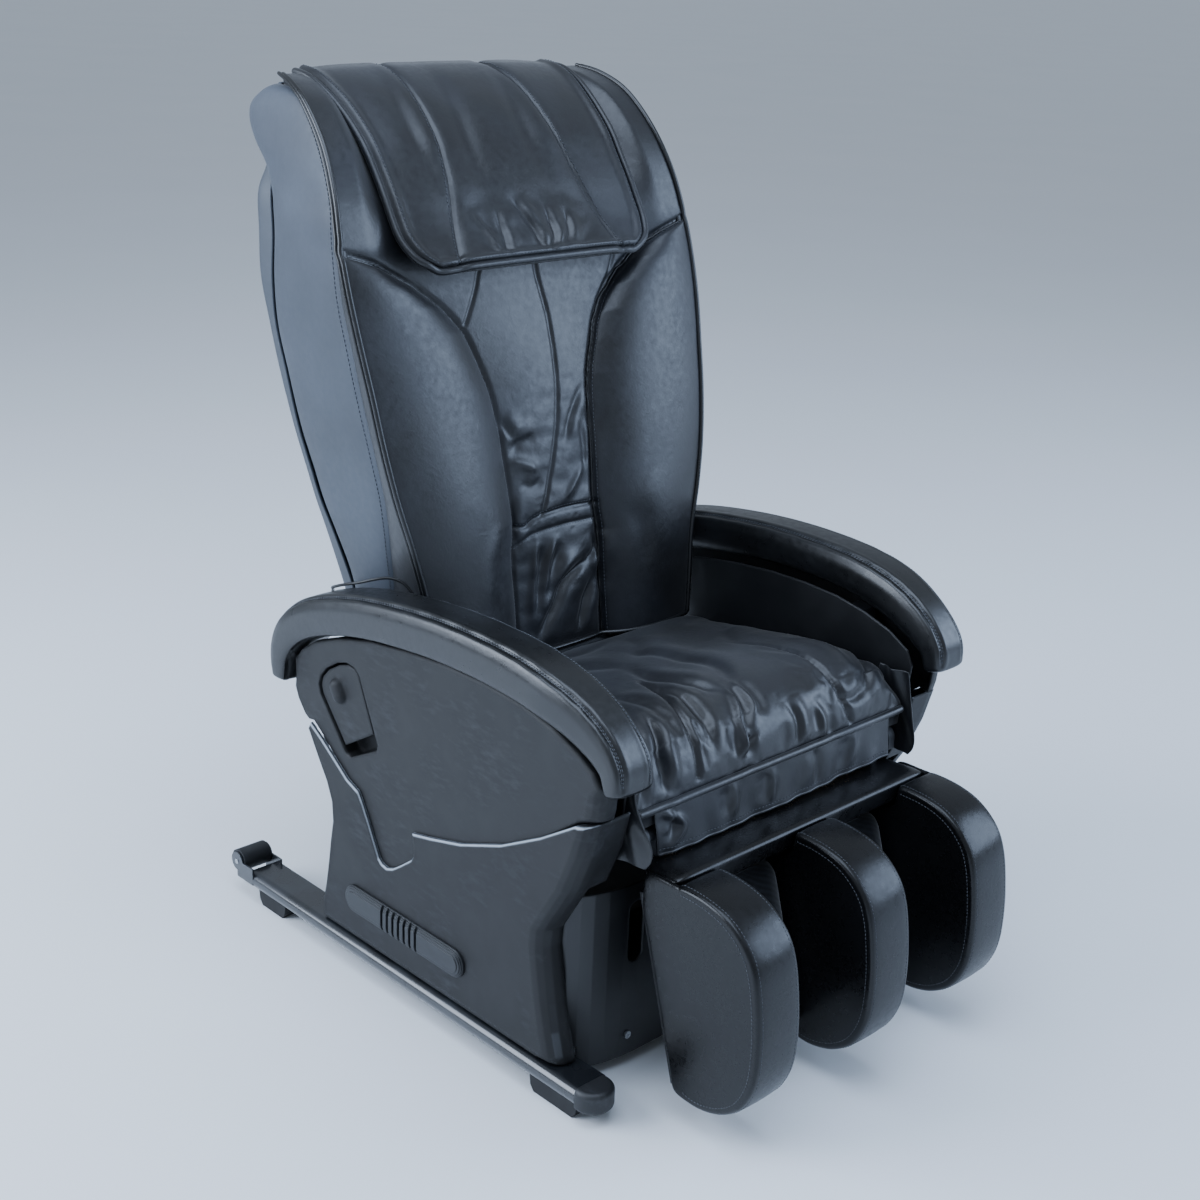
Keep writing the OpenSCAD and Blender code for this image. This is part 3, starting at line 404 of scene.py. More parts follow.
@dataclass(frozen=True)
class Stuffing:
    """How padding swells a cover that is held along its seams.

    Attributes:
        pressure: Push of the foam against the cover.
        slack: Share by which the cover is larger than the foam where it is loose.
        cap: Furthest that a point may move, in mm.
        bend: Stiffness of the cover against folding.
        steps: Number of steps that the cover is given to settle.
    """

    pressure: float
    slack: float
    cap: float
    bend: float
    steps: int = 20

    def settle(self, grid: Array, held: Array, loose: Array) -> Array:
        """Lets a cover settle as cloth over its padding, worked out on every second point of its grid.

        Args:
            grid: Points of the cover at rest, in mm, with an odd number of rows and columns.
            held: How firmly each point is sewn down, from 0 to 1.
            loose: How slack the cover is at each point, from 0 to 1.

        Returns:
            The settled points.
        """
        rest = grid[::2, ::2]
        rows, cols = rest.shape[:2]
        mesh = bpy.data.meshes.new("settling")
        mesh.from_pydata((rest.reshape(-1, 3) * MM).tolist(), [], quads(rows, cols))
        cover = bpy.data.objects.new("settling", mesh)
        bpy.context.scene.collection.objects.link(cover)
        for name, weights in (("sewn", held[::2, ::2]), ("taut", 1 - loose[::2, ::2])):
            group = cover.vertex_groups.new(name=name)
            for k, weight in enumerate(weights.ravel()):
                if weight > 0.01:
                    group.add([k], float(weight), "REPLACE")
        cloth = cover.modifiers.new("cloth", "CLOTH")
        cloth.settings.quality = 5
        cloth.settings.mass = 0.3
        cloth.settings.tension_stiffness = cloth.settings.compression_stiffness = 30
        cloth.settings.shear_stiffness = 12
        cloth.settings.bending_stiffness = self.bend
        cloth.settings.air_damping = 2
        cloth.settings.vertex_group_mass = "sewn"
        cloth.settings.use_pressure = True
        cloth.settings.uniform_pressure_force = self.pressure
        cloth.settings.vertex_group_shrink = "taut"
        cloth.settings.shrink_min = -self.slack
        cloth.settings.effector_weights.gravity = 0
        cloth.collision_settings.use_collision = False
        cloth.point_cache.frame_end = self.steps
        scene = bpy.context.scene
        for step in range(1, self.steps + 1):
            scene.frame_set(step)
        done = cover.evaluated_get(bpy.context.evaluated_depsgraph_get()).data
        moved = np.empty(rows * cols * 3)
        done.vertices.foreach_get("co", moved)
        scene.frame_set(1)
        bpy.data.objects.remove(cover)
        bpy.data.meshes.remove(mesh)
        shift = moved.reshape(rest.shape) / MM - rest
        far = np.linalg.norm(shift, axis=-1, keepdims=True)
        return grid + finer(shift * np.minimum(1.0, self.cap / np.maximum(far, 1e-6)))


# Finishes


def linear(colour: str) -> tuple[float, float, float, float]:
    """Turns an sRGB hex colour into linear light.

    Args:
        colour: The colour, as a hash and six digits.

    Returns:
        Red, green, blue and alpha.
    """
    parts = [int(colour[k:k + 2], 16) / 255 for k in (1, 3, 5)]
    red, green, blue = (p / 12.92 if p <= 0.04045 else ((p + 0.055) / 1.055) ** 2.4 for p in parts)
    return red, green, blue, 1.0


class Shader:
    """A material in the making, with short ways to add the nodes that the finishes share.

    Each way gives the output socket of the node that it adds.
    """

    def __init__(self, name: str) -> None:
        """Starts an empty material.

        Args:
            name: What the material really is.
        """
        self.finish = bpy.data.materials.new(name)
        self.finish.use_nodes = True
        self.tree = self.finish.node_tree
        self.tree.nodes.clear()
        self.place = self.add("TexCoord", {}, "Object")

    def add(self, kind: str, inputs: dict, output: Union[int, str] = 0, **settings: object) -> Socket:
        """Adds one shader node with its settings and links.

        Args:
            kind: Blender's name of the node, without its first part.
            inputs: Socket name or number to a value, or to the output socket that feeds it.
            output: Name or number of the output that is wanted.
            settings: The node's own properties.

        Returns:
            The wanted output.
        """
        made = self.tree.nodes.new(f"ShaderNode{kind}")
        for name, value in settings.items():
            setattr(made, name, value)
        for name, value in inputs.items():
            if isinstance(value, Socket):
                self.tree.links.new(value, made.inputs[name])
            else:
                made.inputs[name].default_value = value
        return made.outputs[output]

    def noise(self, size_mm: float, detail: float, place: Optional[Socket] = None, **more: float) -> Socket:
        """Adds cloudy noise.

        Args:
            size_mm: Size of its spots.
            detail: Number of finer layers.
            place: Stretched or turned place on the piece, or nothing for the plain one.
            more: Other inputs of the node.

        Returns:
            The noise, from 0 to 1.
        """
        inputs = {word.capitalize(): value for word, value in more.items()}
        inputs["Vector"] = self.place if place is None else place
        return self.add("TexNoise", {**inputs, "Scale": per_metre(size_mm), "Detail": detail})

    def drawn(self, scale: Point, turn: float = 0.0) -> Socket:
        """Stretches the place on the piece, and turns it about x."""
        return self.add("Mapping", {"Vector": self.place, "Scale": scale, "Rotation": (turn, 0.0, 0.0)})

    def remap(self, value: Socket, low: float, high: float, first: float,
              last: Union[float, Socket]) -> Socket:
        """Turns values from low to high into values from first to last."""
        return self.add("MapRange", {0: value, 1: low, 2: high, 3: first, 4: last})

    def times(self, one: Socket, other: Socket) -> Socket:
        """Multiplies two values."""
        return self.add("Math", {0: one, 1: other}, operation="MULTIPLY")

    def mix(self, share: Socket, under: Union[str, Socket], over: str) -> Socket:
        """Mixes two colours by a share from 0, all under, to 1, all over."""
        base = linear(under) if isinstance(under, str) else under
        return self.add("Mix", {0: share, 6: base, 7: linear(over)}, 2, data_type="RGBA")

    def edge(self, radius_mm: float, samples: int = 4) -> Socket:
        """Gives the direction of the surface with its edges rounded."""
        return self.add("Bevel", {"Radius": radius_mm * MM}, samples=samples)

    def bump(self, height: Socket, strength: float, deep_mm: float, below: Optional[Socket] = None,
             invert: bool = False) -> Socket:
        """Roughens the surface with a pattern.

        Args:
            height: The pattern.
            strength: How strongly it shows.
            deep_mm: Its depth.
            below: Direction of the surface that it lies on, where that is bent already.
            invert: True where the pattern's high values are valleys.

        Returns:
            The direction of the roughened surface.
        """
        inputs = {"Height": height, "Strength": strength, "Distance": deep_mm * MM}
        if below is not None:
            inputs["Normal"] = below
        return self.add("Bump", inputs, invert=invert)

    def done(self, inputs: dict) -> Material:
        """Ends the material with its surface shader.

        Args:
            inputs: Inputs of the surface shader.

        Returns:
            The finished material.
        """
        surface = self.add("BsdfPrincipled", inputs, "BSDF")
        end = self.tree.nodes.new("ShaderNodeOutputMaterial")
        self.tree.links.new(surface, end.inputs["Surface"])
        return self.finish


def per_metre(size_mm: float) -> float:
    """Scale of a pattern whose cells are a given size in mm."""
    return 1000.0 / size_mm


@dataclass(frozen=True)
class Finish:
    """What the finishes have in common.

    Attributes:
        name: Name of the material.
        colour: Its main colour.
    """

    name: str
    colour: str

    def surface(self, shader: Shader) -> dict:
        """Adds the nodes of the finish.

        Args:
            shader: The material in the making.

        Returns:
            Inputs of the surface shader.
        """
        raise NotImplementedError

    def build(self) -> Material:
        """Makes the material."""
        shader = Shader(self.name)
        return shader.done(self.surface(shader))


@dataclass(frozen=True)
class Leather(Finish):
    """Split leather with an embossed polyurethane coat: near black, a fine pebble grain, a soft broad gloss
    that changes from patch to patch, and short creases as of leather that has been sat on.

    Attributes:
        colour: Colour of the coat.
        rubbed: Colour where use has greyed it.
        rough: Lowest and highest roughness.
        grain_mm: Size of a pebble of the grain.
        grain: Depth of the grain in mm.
        crease: Depth of the short creases in mm.
        sheen: Weight of the pale bloom at grazing angles.
        gloss: Strength of the reflection, where 0.5 is that of a clean coat.
    """

    rubbed: str
    rough: tuple[float, float]
    grain_mm: float = 1.6
    grain: float = 0.12
    crease: float = 0.5
    sheen: float = 0.0
    gloss: float = 0.5

    def surface(self, shader: Shader) -> dict:
        """Adds the nodes of the finish."""
        wide = shader.noise(140, 4.0)
        speck = shader.times(wide, shader.noise(9, 3.0))
        colour = shader.mix(shader.remap(wide, 0.42, 0.72, 0.0, 1.0), self.colour, self.rubbed)
        rough = shader.remap(speck, 0.12, 0.42, *self.rough)
        fold = shader.bump(shader.noise(26, 2.0, distortion=1.6), 0.6, self.crease)
        # Grain is drawn at twice its real size, because the true pebble is finer than a pixel.
        pebble = shader.add("TexVoronoi", {"Vector": shader.place, "Scale": per_metre(self.grain_mm * 2),
                                           "Randomness": 1.0}, "Distance", feature="SMOOTH_F1")
        skin = shader.bump(pebble, 0.5, self.grain, fold, invert=True)
        return {"Base Color": colour, "Roughness": rough, "IOR": 1.5, "Normal": skin,
                "Specular IOR Level": self.gloss, "Sheen Weight": self.sheen,
                "Sheen Roughness": 0.4}


@dataclass(frozen=True)
class MouldedPlastic(Finish):
    """Injection-moulded plastic, mostly ABS: one even colour with a spark-eroded matt texture that scatters
    the light, softly rounded edges, and pale scuffs as from shoes and hands.

    Attributes:
        colour: Colour of the plastic.
        scuff: Colour of a scuff.
        rough: Roughness of clean plastic.
        grit_mm: Size of the texture's grit, about three times its real size, so that it shows.
        grit: Depth of the grit in mm.
        edge_mm: Radius that edges show.
        scuffs: How much of the face is scuffed, from 0 to 1.
        lip_highlight: Strength of a painted highlight on the edges that face up and out, standing in for
            light from above, from 0 to 1.
        lip_highlight_mm: Radius of the edges that carry the painted highlight.
        highlight_colour: Colour of the painted highlight.
        gloss: Strength of the reflection, where 0.5 is that of clean plastic.
    """

    scuff: str
    rough: float
    grit_mm: float = 1.2
    grit: float = 0.1
    edge_mm: float = 1.5
    scuffs: float = 0.3
    lip_highlight: float = 0.0
    lip_highlight_mm: float = 5.0
    highlight_colour: str = "#c3ccd6"
    gloss: float = 0.5

    def surface(self, shader: Shader) -> dict:
        """Adds the nodes of the finish."""
        wide = shader.noise(60, 5.0)
        streak = shader.noise(9, 4.0, shader.drawn((1.0, 0.35, 1.0), 0.5), roughness=0.7)
        worn = shader.remap(shader.times(wide, streak), 0.27, 0.5, 0.0, self.scuffs)
        tone = shader.mix(worn, self.colour, self.scuff)
        # Painted highlight: edges that face up and out are lightened towards a pale colour, as light from
        # above would brighten them.
        facing = shader.edge(self.lip_highlight_mm, samples=8)
        across, up = (shader.add("SeparateXYZ", {0: facing}, axis) for axis in "XZ")
        outer = shader.remap(shader.add("Math", {0: across}, operation="ABSOLUTE"), 0.3, 0.6, 0.0, self.lip_highlight)
        lip = shader.remap(up, 0.2, 0.5, 0.0, outer)
        colour = shader.mix(lip, tone, self.highlight_colour)
        rough = shader.remap(wide, 0.3, 0.7, self.rough - 0.05, self.rough + 0.08)
        grit = shader.noise(self.grit_mm, 2.0, roughness=0.6)
        skin = shader.bump(grit, 0.35, self.grit, shader.edge(self.edge_mm))
        return {"Base Color": colour, "Roughness": rough, "IOR": 1.53, "Normal": skin,
                "Specular IOR Level": self.gloss}


@dataclass(frozen=True)
class PaintedSteel(Finish):
    """Steel tube under black stoved enamel or powder coat: a smooth skin with faint orange peel, bright line
    highlights along its rounded edges, and thin dust that dulls it in patches.

    Attributes:
        colour: Colour of the paint.
        dust: Colour of the dust.
        rough: Roughness of clean paint.
        coat: Weight of the clear gloss on top.
        peel: Depth of the orange peel in mm.
    """

    dust: str
    rough: float
    coat: float
    peel: float = 0.03

    def surface(self, shader: Shader) -> dict:
        """Adds the nodes of the finish."""
        wide = shader.noise(60, 6.0)
        colour = shader.mix(shader.remap(wide, 0.45, 0.75, 0.0, 0.35), self.colour, self.dust)
        rough = shader.remap(wide, 0.3, 0.75, self.rough, self.rough + 0.16)
        skin = shader.bump(shader.noise(3.5, 1.0), 0.4, self.peel, shader.edge(1.2))
        return {"Base Color": colour, "Roughness": rough, "IOR": 1.5, "Normal": skin,
                "Coat Weight": self.coat, "Coat Roughness": 0.12}


@dataclass(frozen=True)
class BareMetal(Finish):
    """Bare metal, drawn or cast: a grey mirror broken by fine lines or by the sand of the mould.

    Attributes:
        colour: Colour of its reflection.
        rough: Roughness.
        line_mm: Distance between the drawing lines, or size of the sand.
        stretch: How much longer than wide the marks are.
    """

    rough: float
    line_mm: float = 1.0
    stretch: float = 12.0

    def surface(self, shader: Shader) -> dict:
        """Adds the nodes of the finish."""
        lines = shader.noise(self.line_mm, 3.0, shader.drawn((1.0, 1.0, 1.0 / self.stretch)))
        rough = shader.remap(lines, 0.3, 0.7, self.rough - 0.06, self.rough + 0.1)
        return {"Base Color": linear(self.colour), "Metallic": 1.0, "Roughness": rough,
                "Normal": shader.bump(lines, 0.2, 0.05)}


@dataclass(frozen=True)
class Rubber(Finish):
    """Moulded rubber or soft PVC: dense black, matt to satin, with a faint bloom of dust.

    Attributes:
        colour: Colour of the rubber.
        bloom: Colour of the dust on it.
        rough: Roughness.
    """

    bloom: str
    rough: float

    def surface(self, shader: Shader) -> dict:
        """Adds the nodes of the finish."""
        dust = shader.noise(22, 5.0)
        colour = shader.mix(shader.remap(dust, 0.4, 0.8, 0.0, 0.5), self.colour, self.bloom)
        return {"Base Color": colour, "Roughness": self.rough, "IOR": 1.52,
                "Normal": shader.bump(dust, 0.2, 0.1)}


@dataclass(frozen=True)
class Cloth(Finish):
    """Brushed polyester knit or thread: no gloss, a fine rib of loops and a soft fuzz at grazing angles.

    Attributes:
        colour: Colour in the valleys of the rib.
        crest: Colour on the loops.
        rib_mm: Distance from rib to rib.
        coarse: How much coarser the wave is than the rib. The ribs come out about seven times as far apart
            as they are, because the loops are finer than a pixel.
    """

    crest: str
    rib_mm: float
    coarse: float = 18.84

    def surface(self, shader: Shader) -> dict:
        """Adds the nodes of the finish."""
        inputs = {"Vector": shader.place, "Scale": per_metre(self.rib_mm * self.coarse), "Distortion": 1.5,
                  "Detail": 2.0}
        rib = shader.add("TexWave", inputs, "Fac", bands_direction="DIAGONAL")
        loop = shader.times(rib, shader.noise(3, 4.0))
        return {"Base Color": shader.mix(loop, self.colour, self.crest), "Roughness": 0.92,
                "Specular IOR Level": 0.2, "Sheen Weight": 0.25, "Sheen Roughness": 0.5,
                "Normal": shader.bump(loop, 0.5, 0.3)}


@dataclass(frozen=True)
class Plywood(Finish):
    """Birch plywood: pale rotary-cut face with long brown grain, raw and dull.

    Attributes:
        colour: Colour of the grain.
        face: Colour of the wood between the grain.
    """

    face: str

    def surface(self, shader: Shader) -> dict:
        """Adds the nodes of the finish."""
        grain = shader.noise(7, 6.0, shader.drawn((0.08, 1.0, 1.0)), distortion=0.8)
        return {"Base Color": shader.mix(grain, self.colour, self.face), "Roughness": 0.7,
                "Normal": shader.bump(grain, 0.3, 0.2)}


class Finishes:
    """All finishes of the chair, made once."""

    def __init__(self) -> None:
        """Makes the materials."""
        self.seat = Leather("soft_black_leather", "#0f1013", "#181b21", (0.33, 0.48),
                            crease=0.4, sheen=0.12, gloss=0.57).build()
        self.arm = Leather("smooth_black_coated_leather", "#0c0d0e", "#131518", (0.26, 0.42),
                           crease=0.2, grain=0.08, gloss=0.62).build()
        self.fin = Leather("dulled_black_coated_leather", "#0a0a0b", "#101113", (0.24, 0.38),
                           crease=0.3, grain=0.1, gloss=0.36).build()
        self.side = Leather("matt_grey_vinyl", "#373d46", "#434a54", (0.50, 0.62),
                            crease=0.15, grain=0.08, sheen=0.1).build()
        self.cover = MouldedPlastic("spark_textured_charcoal_abs", "#19191a", "#4a4d52", 0.5,
                                    edge_mm=7.0, scuffs=0.28, gloss=0.34).build()
        # The lower covers carry a painted highlight along their ledge and other edges that face up and out.
        self.ledge_with_painted_highlight = MouldedPlastic("charcoal_abs_with_polished_ledge", "#19191a", "#4a4d52", 0.5,
                                    edge_mm=7.0, scuffs=0.28, lip_highlight=0.7, gloss=0.31).build()
        self.panel = MouldedPlastic("satin_black_abs", "#111214", "#2a2c30", 0.4,
                                    edge_mm=4.0, scuffs=0.2).build()
        self.grip = MouldedPlastic("soft_touch_charcoal_abs", "#1b1d20", "#3c3f45", 0.44,
                                   grit=0.05, edge_mm=2.0).build()
        self.shell = MouldedPlastic("satin_grey_abs", "#3d434b", "#525962", 0.45,
                                    grit=0.05, scuffs=0.2).build()
        self.gadget = MouldedPlastic("gloss_black_abs", "#101113", "#2a2c30", 0.3,
                                     grit=0.02, edge_mm=0.8, scuffs=0.15).build()
        self.wheel = MouldedPlastic("natural_acetal", "#d6cfbb", "#e8e3d3", 0.38,
                                    grit=0.03, scuffs=0.2).build()
        self.roller = MouldedPlastic("moulded_black_nylon", "#1a1b1d", "#4a4c50", 0.5,
                                     grit=0.05, scuffs=0.4).build()
        self.rail = PaintedSteel("black_stoved_enamel", "#15171a", "#3a4048", 0.22, 0.8).build()
        self.frame = PaintedSteel("black_powder_coat", "#222428", "#45484d", 0.48, 0.0, peel=0.08).build()
        self.steel = BareMetal("bright_drawn_steel", "#b9bcc0", 0.28).build()
        self.casting = BareMetal("sand_cast_aluminium", "#8e9195", 0.5, line_mm=1.5, stretch=1.0).build()
        self.pad = Rubber("moulded_black_rubber", "#0e0e0f", "#2c2c2d", 0.72).build()
        self.jacket = Rubber("black_pvc_jacket", "#0d0d0e", "#1d1d1f", 0.42).build()
        self.knit = Cloth("brushed_black_knit", "#0c0d10", "#22252b", 0.9).build()
        self.thread = Cloth("grey_polyester_thread", "#3a3d42", "#5b6068", 0.4).build()
        self.board = Plywood("raw_birch_plywood", "#a9834f", "#d9bd8d").build()


@dataclass
class Dressed:
    """Part of the chair that gets its shape or its finish here.

    Attributes:
        looks: The finishes.
    """

    looks: Finishes


# Upholstery of the back


@dataclass
class BackForm:
    """Form that the cover of the back is sewn to.

    Attributes:
        edge: Piping of the right and left edges, from the seat to over the top: half width, y, z.
        bolster_seam: Inner seam of a side bolster, from the seat up and out to the piping: x, z.
        rows: Rows of the cover's grid.
        cols: Columns of the cover's grid.
    """

    edge: Sequence[Point] = (
        (230, 119, 412), (237, 126, 470), (245, 134, 538), (261, 142, 604), (276, 154, 668), (286, 168, 734),
        (292, 183, 798), (298, 199, 860), (301, 217, 920), (300, 236, 978), (293, 257, 1036),
        (284, 291, 1092), (276, 338, 1138), (266, 384, 1160), (254, 424, 1168))
    bolster_seam: Sequence[Point] = (
        (80, 405), (79, 471), (79, 516), (79, 562), (75, 604), (77, 649), (80, 693), (83, 735), (89, 779),
        (103, 822), (119, 861), (149, 896), (188, 925), (240, 952), (302, 972))
    rows: int = 351
    cols: int = 217

    def __post_init__(self) -> None:
        """Works out the edge line and the flat plan of the cover."""
        self.line = smooth(self.edge, self.rows)
        self.u = np.linspace(-1, 1, self.cols)
        self.x = self.line[:, :1] * self.u
        self.z = np.repeat(self.line[:, 2:3], self.cols, axis=1)
        steps = np.linalg.norm(np.diff(self.line[:, 1:], axis=0), axis=1)
        self.reach = np.concatenate([[0.0], np.cumsum(steps)])
        self.flat = np.stack([self.x, np.repeat(self.reach[:, None], self.cols, axis=1)], axis=-1)

    def plan(self, line: Sequence[Point], count: int = 160) -> Array:
        """Lays a line of x and z on the flat plan of the cover.

        Args:
            line: Points of x and z.
            count: Number of points wanted.

        Returns:
            Points of x and distance along the back.
        """
        fine = smooth(line, count, 2)
        return np.stack([fine[:, 0], np.interp(fine[:, 1], self.line[:, 2], self.reach)], axis=1)

    def place(self, height: Array) -> Array:
        """Raises the cover off the edge line.

        Args:
            height: Distance in front of the edge line, for each point of the grid.

        Returns:
            Points of the grid.
        """
        return raised(self.line, self.x, height)

    def spot(self, grid: Array, plan: Array) -> Array:
        """Finds where points of the flat plan lie on a finished cover.

        Args:
            grid: The finished cover.
            plan: Points of x and distance along the back.

        Returns:
            Points on the cover.
        """
        row = np.clip(np.interp(plan[:, 1], self.reach, np.arange(self.rows)), 0, self.rows - 1.001)
        half = np.interp(row, np.arange(self.rows), self.line[:, 0])
        col = np.clip((plan[:, 0] / half + 1) / 2 * (self.cols - 1), 0, self.cols - 1.001)
        i, j = row.astype(int), col.astype(int)
        s, t = (row - i)[:, None], (col - j)[:, None]
        low = grid[i, j] * (1 - t) + grid[i, j + 1] * t
        high = grid[i + 1, j] * (1 - t) + grid[i + 1, j + 1] * t
        return low * (1 - s) + high * s


@dataclass
class BackCushion(Dressed):
    """Cover of the back: two side bolsters round a lower middle panel, with a slack yoke under the headrest.

    Attributes:
        form: The form that it is sewn to.
        hollow: Depth of the middle panel behind the piping.
        crown: Height of the bolsters in front of the piping.
        bed: Height from which the flap lies on the cover.
        piping: Radius of the edge piping.
        stuffing: The padding behind it.
        boxed: Lowest and highest point of the strips along its sides.
        folds: Creases that use has left in the panel and the bolsters: points of x and z, width, depth.
    """

    form: BackForm = field(default_factory=BackForm)
    hollow: float = 23.0
    crown: float = 11.0
    bed: float = 985.0
    piping: float = 4.0
    stuffing: Stuffing = Stuffing(pressure=3.0, slack=0.002, cap=24.0, bend=8.0)
    boxed: tuple[float, float] = (468.0, 1150.0)
    folds: Sequence[Fold] = (
        (((-79, 742), (-68, 725), (-59, 713)), 10.0, 4.0),
        (((-70, 698), (-49, 707), (-21, 709)), 14.0, 4.0),
        (((-56, 656), (-37, 646), (-15, 653)), 14.0, 4.0),
        (((-73, 686), (-53, 680), (-26, 668)), 12.0, -3.5),
        (((74, 767), (46, 731), (30, 698)), 9.0, 4.5),
        (((58, 659), (36, 635), (20, 620)), 10.0, -4.5),
        (((-38, 563), (-44, 522), (-50, 489), (-54, 464)), 9.0, -6.5),
        (((-5, 565), (-18, 539), (-29, 505), (-37, 479)), 9.0, -6.5),
        (((-42, 436), (-33, 447), (-10, 476), (7, 502), (40, 521), (58, 526)), 12.0, 11.0),
        (((70, 563), (71, 537), (53, 523)), 10.0, 6.0),
        (((66, 500), (48, 470), (30, 430)), 12.0, 7.0),
        (((-70, 640), (-74, 600), (-70, 560)), 8.0, 3.0),
        (((60, 720), (66, 690), (64, 650)), 10.0, 3.5),
        (((110, 600), (140, 560), (150, 500)), 30.0, 3.0),
        (((-110, 610), (-140, 560), (-146, 500)), 30.0, -3.0))

    def relief(self) -> Array:
        """Height of the cover before its padding swells it.

        Returns:
            Height in front of the edge line, for each point of the grid.
        """
        form = self.form
        half = form.line[:, :1]
        seam = np.interp(form.line[:, 2], *np.asarray(form.bolster_seam, float)[:, ::-1].T)[:, None]
        share = np.clip(seam / half, 0.05, 0.999)
        u = np.abs(form.u)[None, :]
        k = np.clip((u - share) / (1 - share), 0, 1)
        pad = -self.hollow * (1 - k) ** 4 + self.crown * np.sin(math.pi * k**0.75) ** 0.7
        middle = -self.hollow + 5 * (1 - np.minimum(u / share, 1) ** 2)
        low = np.where(u < share, middle, pad)
        bed = (-9 - 22 * ease(form.z, self.bed, self.bed + 105)) * (1 - ease(u, 0.70, 0.88))
        return low + (bed - low) * ease(form.z, self.bed - 70, self.bed)

    def build(self) -> None:
        """Builds and dresses the cover, its piping, its stitching and the strips along its sides."""
        form = self.form
        seams = [form.plan([(s * x, z) for x, z in form.bolster_seam]) for s in (-1, 1)]
        centre = form.plan([(14, 1005), (20, 921), (28, 860), (28, 781), (16, 717), (-8, 645), (-24, 606)])
        yoke = form.plan([(-78, 597), (-56, 593), (-36, 602), (13, 607), (77, 604)])
        hem = form.plan([(-78, 565), (-43, 580), (12, 584), (77, 582)])
        gussets = [form.plan([(-72, 965), (-84, 924), (-96, 900), (-114, 870)]),
                   form.plan([(176, 955), (161, 918), (141, 893), (127, 877)])]
        gap = np.min([away(form.flat, line) for line in (*seams, centre, yoke, hem, *gussets)], axis=0)
        held = sewn(gap, 5.0, 5.0)
        held[(form.z > self.bed) & (np.abs(form.u)[None, :] < 0.66)] = 1
        loose = (1 - ease(np.abs(form.x), 60, 84)) * (1 - ease(form.z, 700, 860))
        height = self.relief()
        grid = self.stuffing.settle(form.place(height), held, loose)
        out = normals(grid)
        # Seams that draw the cover in: lines, depth and half width of the valley.
        drawn_in = ((seams, 5.0, 3.6), ([centre], 3.2, 2.8), ([yoke], 3.0, 3.0), ([hem], 1.5, 2.4),
                    (gussets, 2.4, 2.6))
        # Creases are drawn a little wider and flatter than listed, so that they look soft.
        dip = creases(form.flat, [(form.plan(line, 24), 1.15 * wide, 0.75 * deep)
                                  for line, wide, deep in self.folds])
        for lines, deep, width in drawn_in:
            dip -= deep * np.max([bell(away(form.flat, line), width) for line in lines], axis=0)
        grid = grid + out * dip[..., None]
        behind = form.place(np.minimum(-13.0, height - 13))
        behind[..., 0] *= 0.985
        make("back_cover", slab(grid, behind), self.looks.seat, "back",
             node="back_cushion")
        rows = [stitches(form.spot(grid, line + [s * 5.0, 0]) + [0.0, -0.3, 0.1])
                for line, s in zip(seams, (-1, 1))]
        rows += [stitches(form.spot(grid, line + [0, d])) for line, d in ((yoke, 4), (hem, -2))]
        make("back_stitching", merged(rows), self.looks.thread, "back")
        cords = []
        for col, s in ((0, -1.0), (-1, 1.0)):
            run = (grid[:, col] + out[:, col] + [1.5 * s, 0, 0])[::4]
            cords += [tube(run, self.piping), tube(run + [s, 7.5, 1.0], 3.0)]
        cords.append(tube(grid[0, ::4] + [0, -2.0, 1.0], self.piping * 0.9))
        cords += [tube(form.spot(grid, line) + [0, -0.5, 0], 2.0) for line in seams]
        make("back_piping", merged(cords), self.looks.arm, "back", 1)
        for side in Side:
            self.boxing(side)

    def boxing(self, side: Side) -> None:
        """Builds and dresses the leather strip between the piping and one side panel.

        Args:
            side: Which side it is on.
        """
        s = side.value
        panel = smooth(BackSidePanel.form, 300, 2)
        line = self.form.line
        line = line[(line[:, 2] > self.boxed[0]) & (line[:, 2] < self.boxed[1])]
        t = np.linspace(0, 1, 12)[None, :]
        front, wide = (np.interp(line[:, 2], panel[:, 0], panel[:, k])[:, None] for k in (1, 3))
        x = line[:, :1] + (wide - 3 - line[:, :1]) * t + 1.5 * np.sin(math.pi * t)
        y = line[:, 1:2] + 2 + np.maximum(front + 5 - line[:, 1:2], 4) * t
        z = np.broadcast_to(line[:, 2:3], y.shape)
        outer = np.stack([s * x, y, z], axis=-1)
        inner = np.stack([s * (x - 9), y + 1, z], axis=-1)
        make(f"back_boxing_{side.word}", slab(outer, inner, s < 0), self.looks.seat,
             "back", 1)


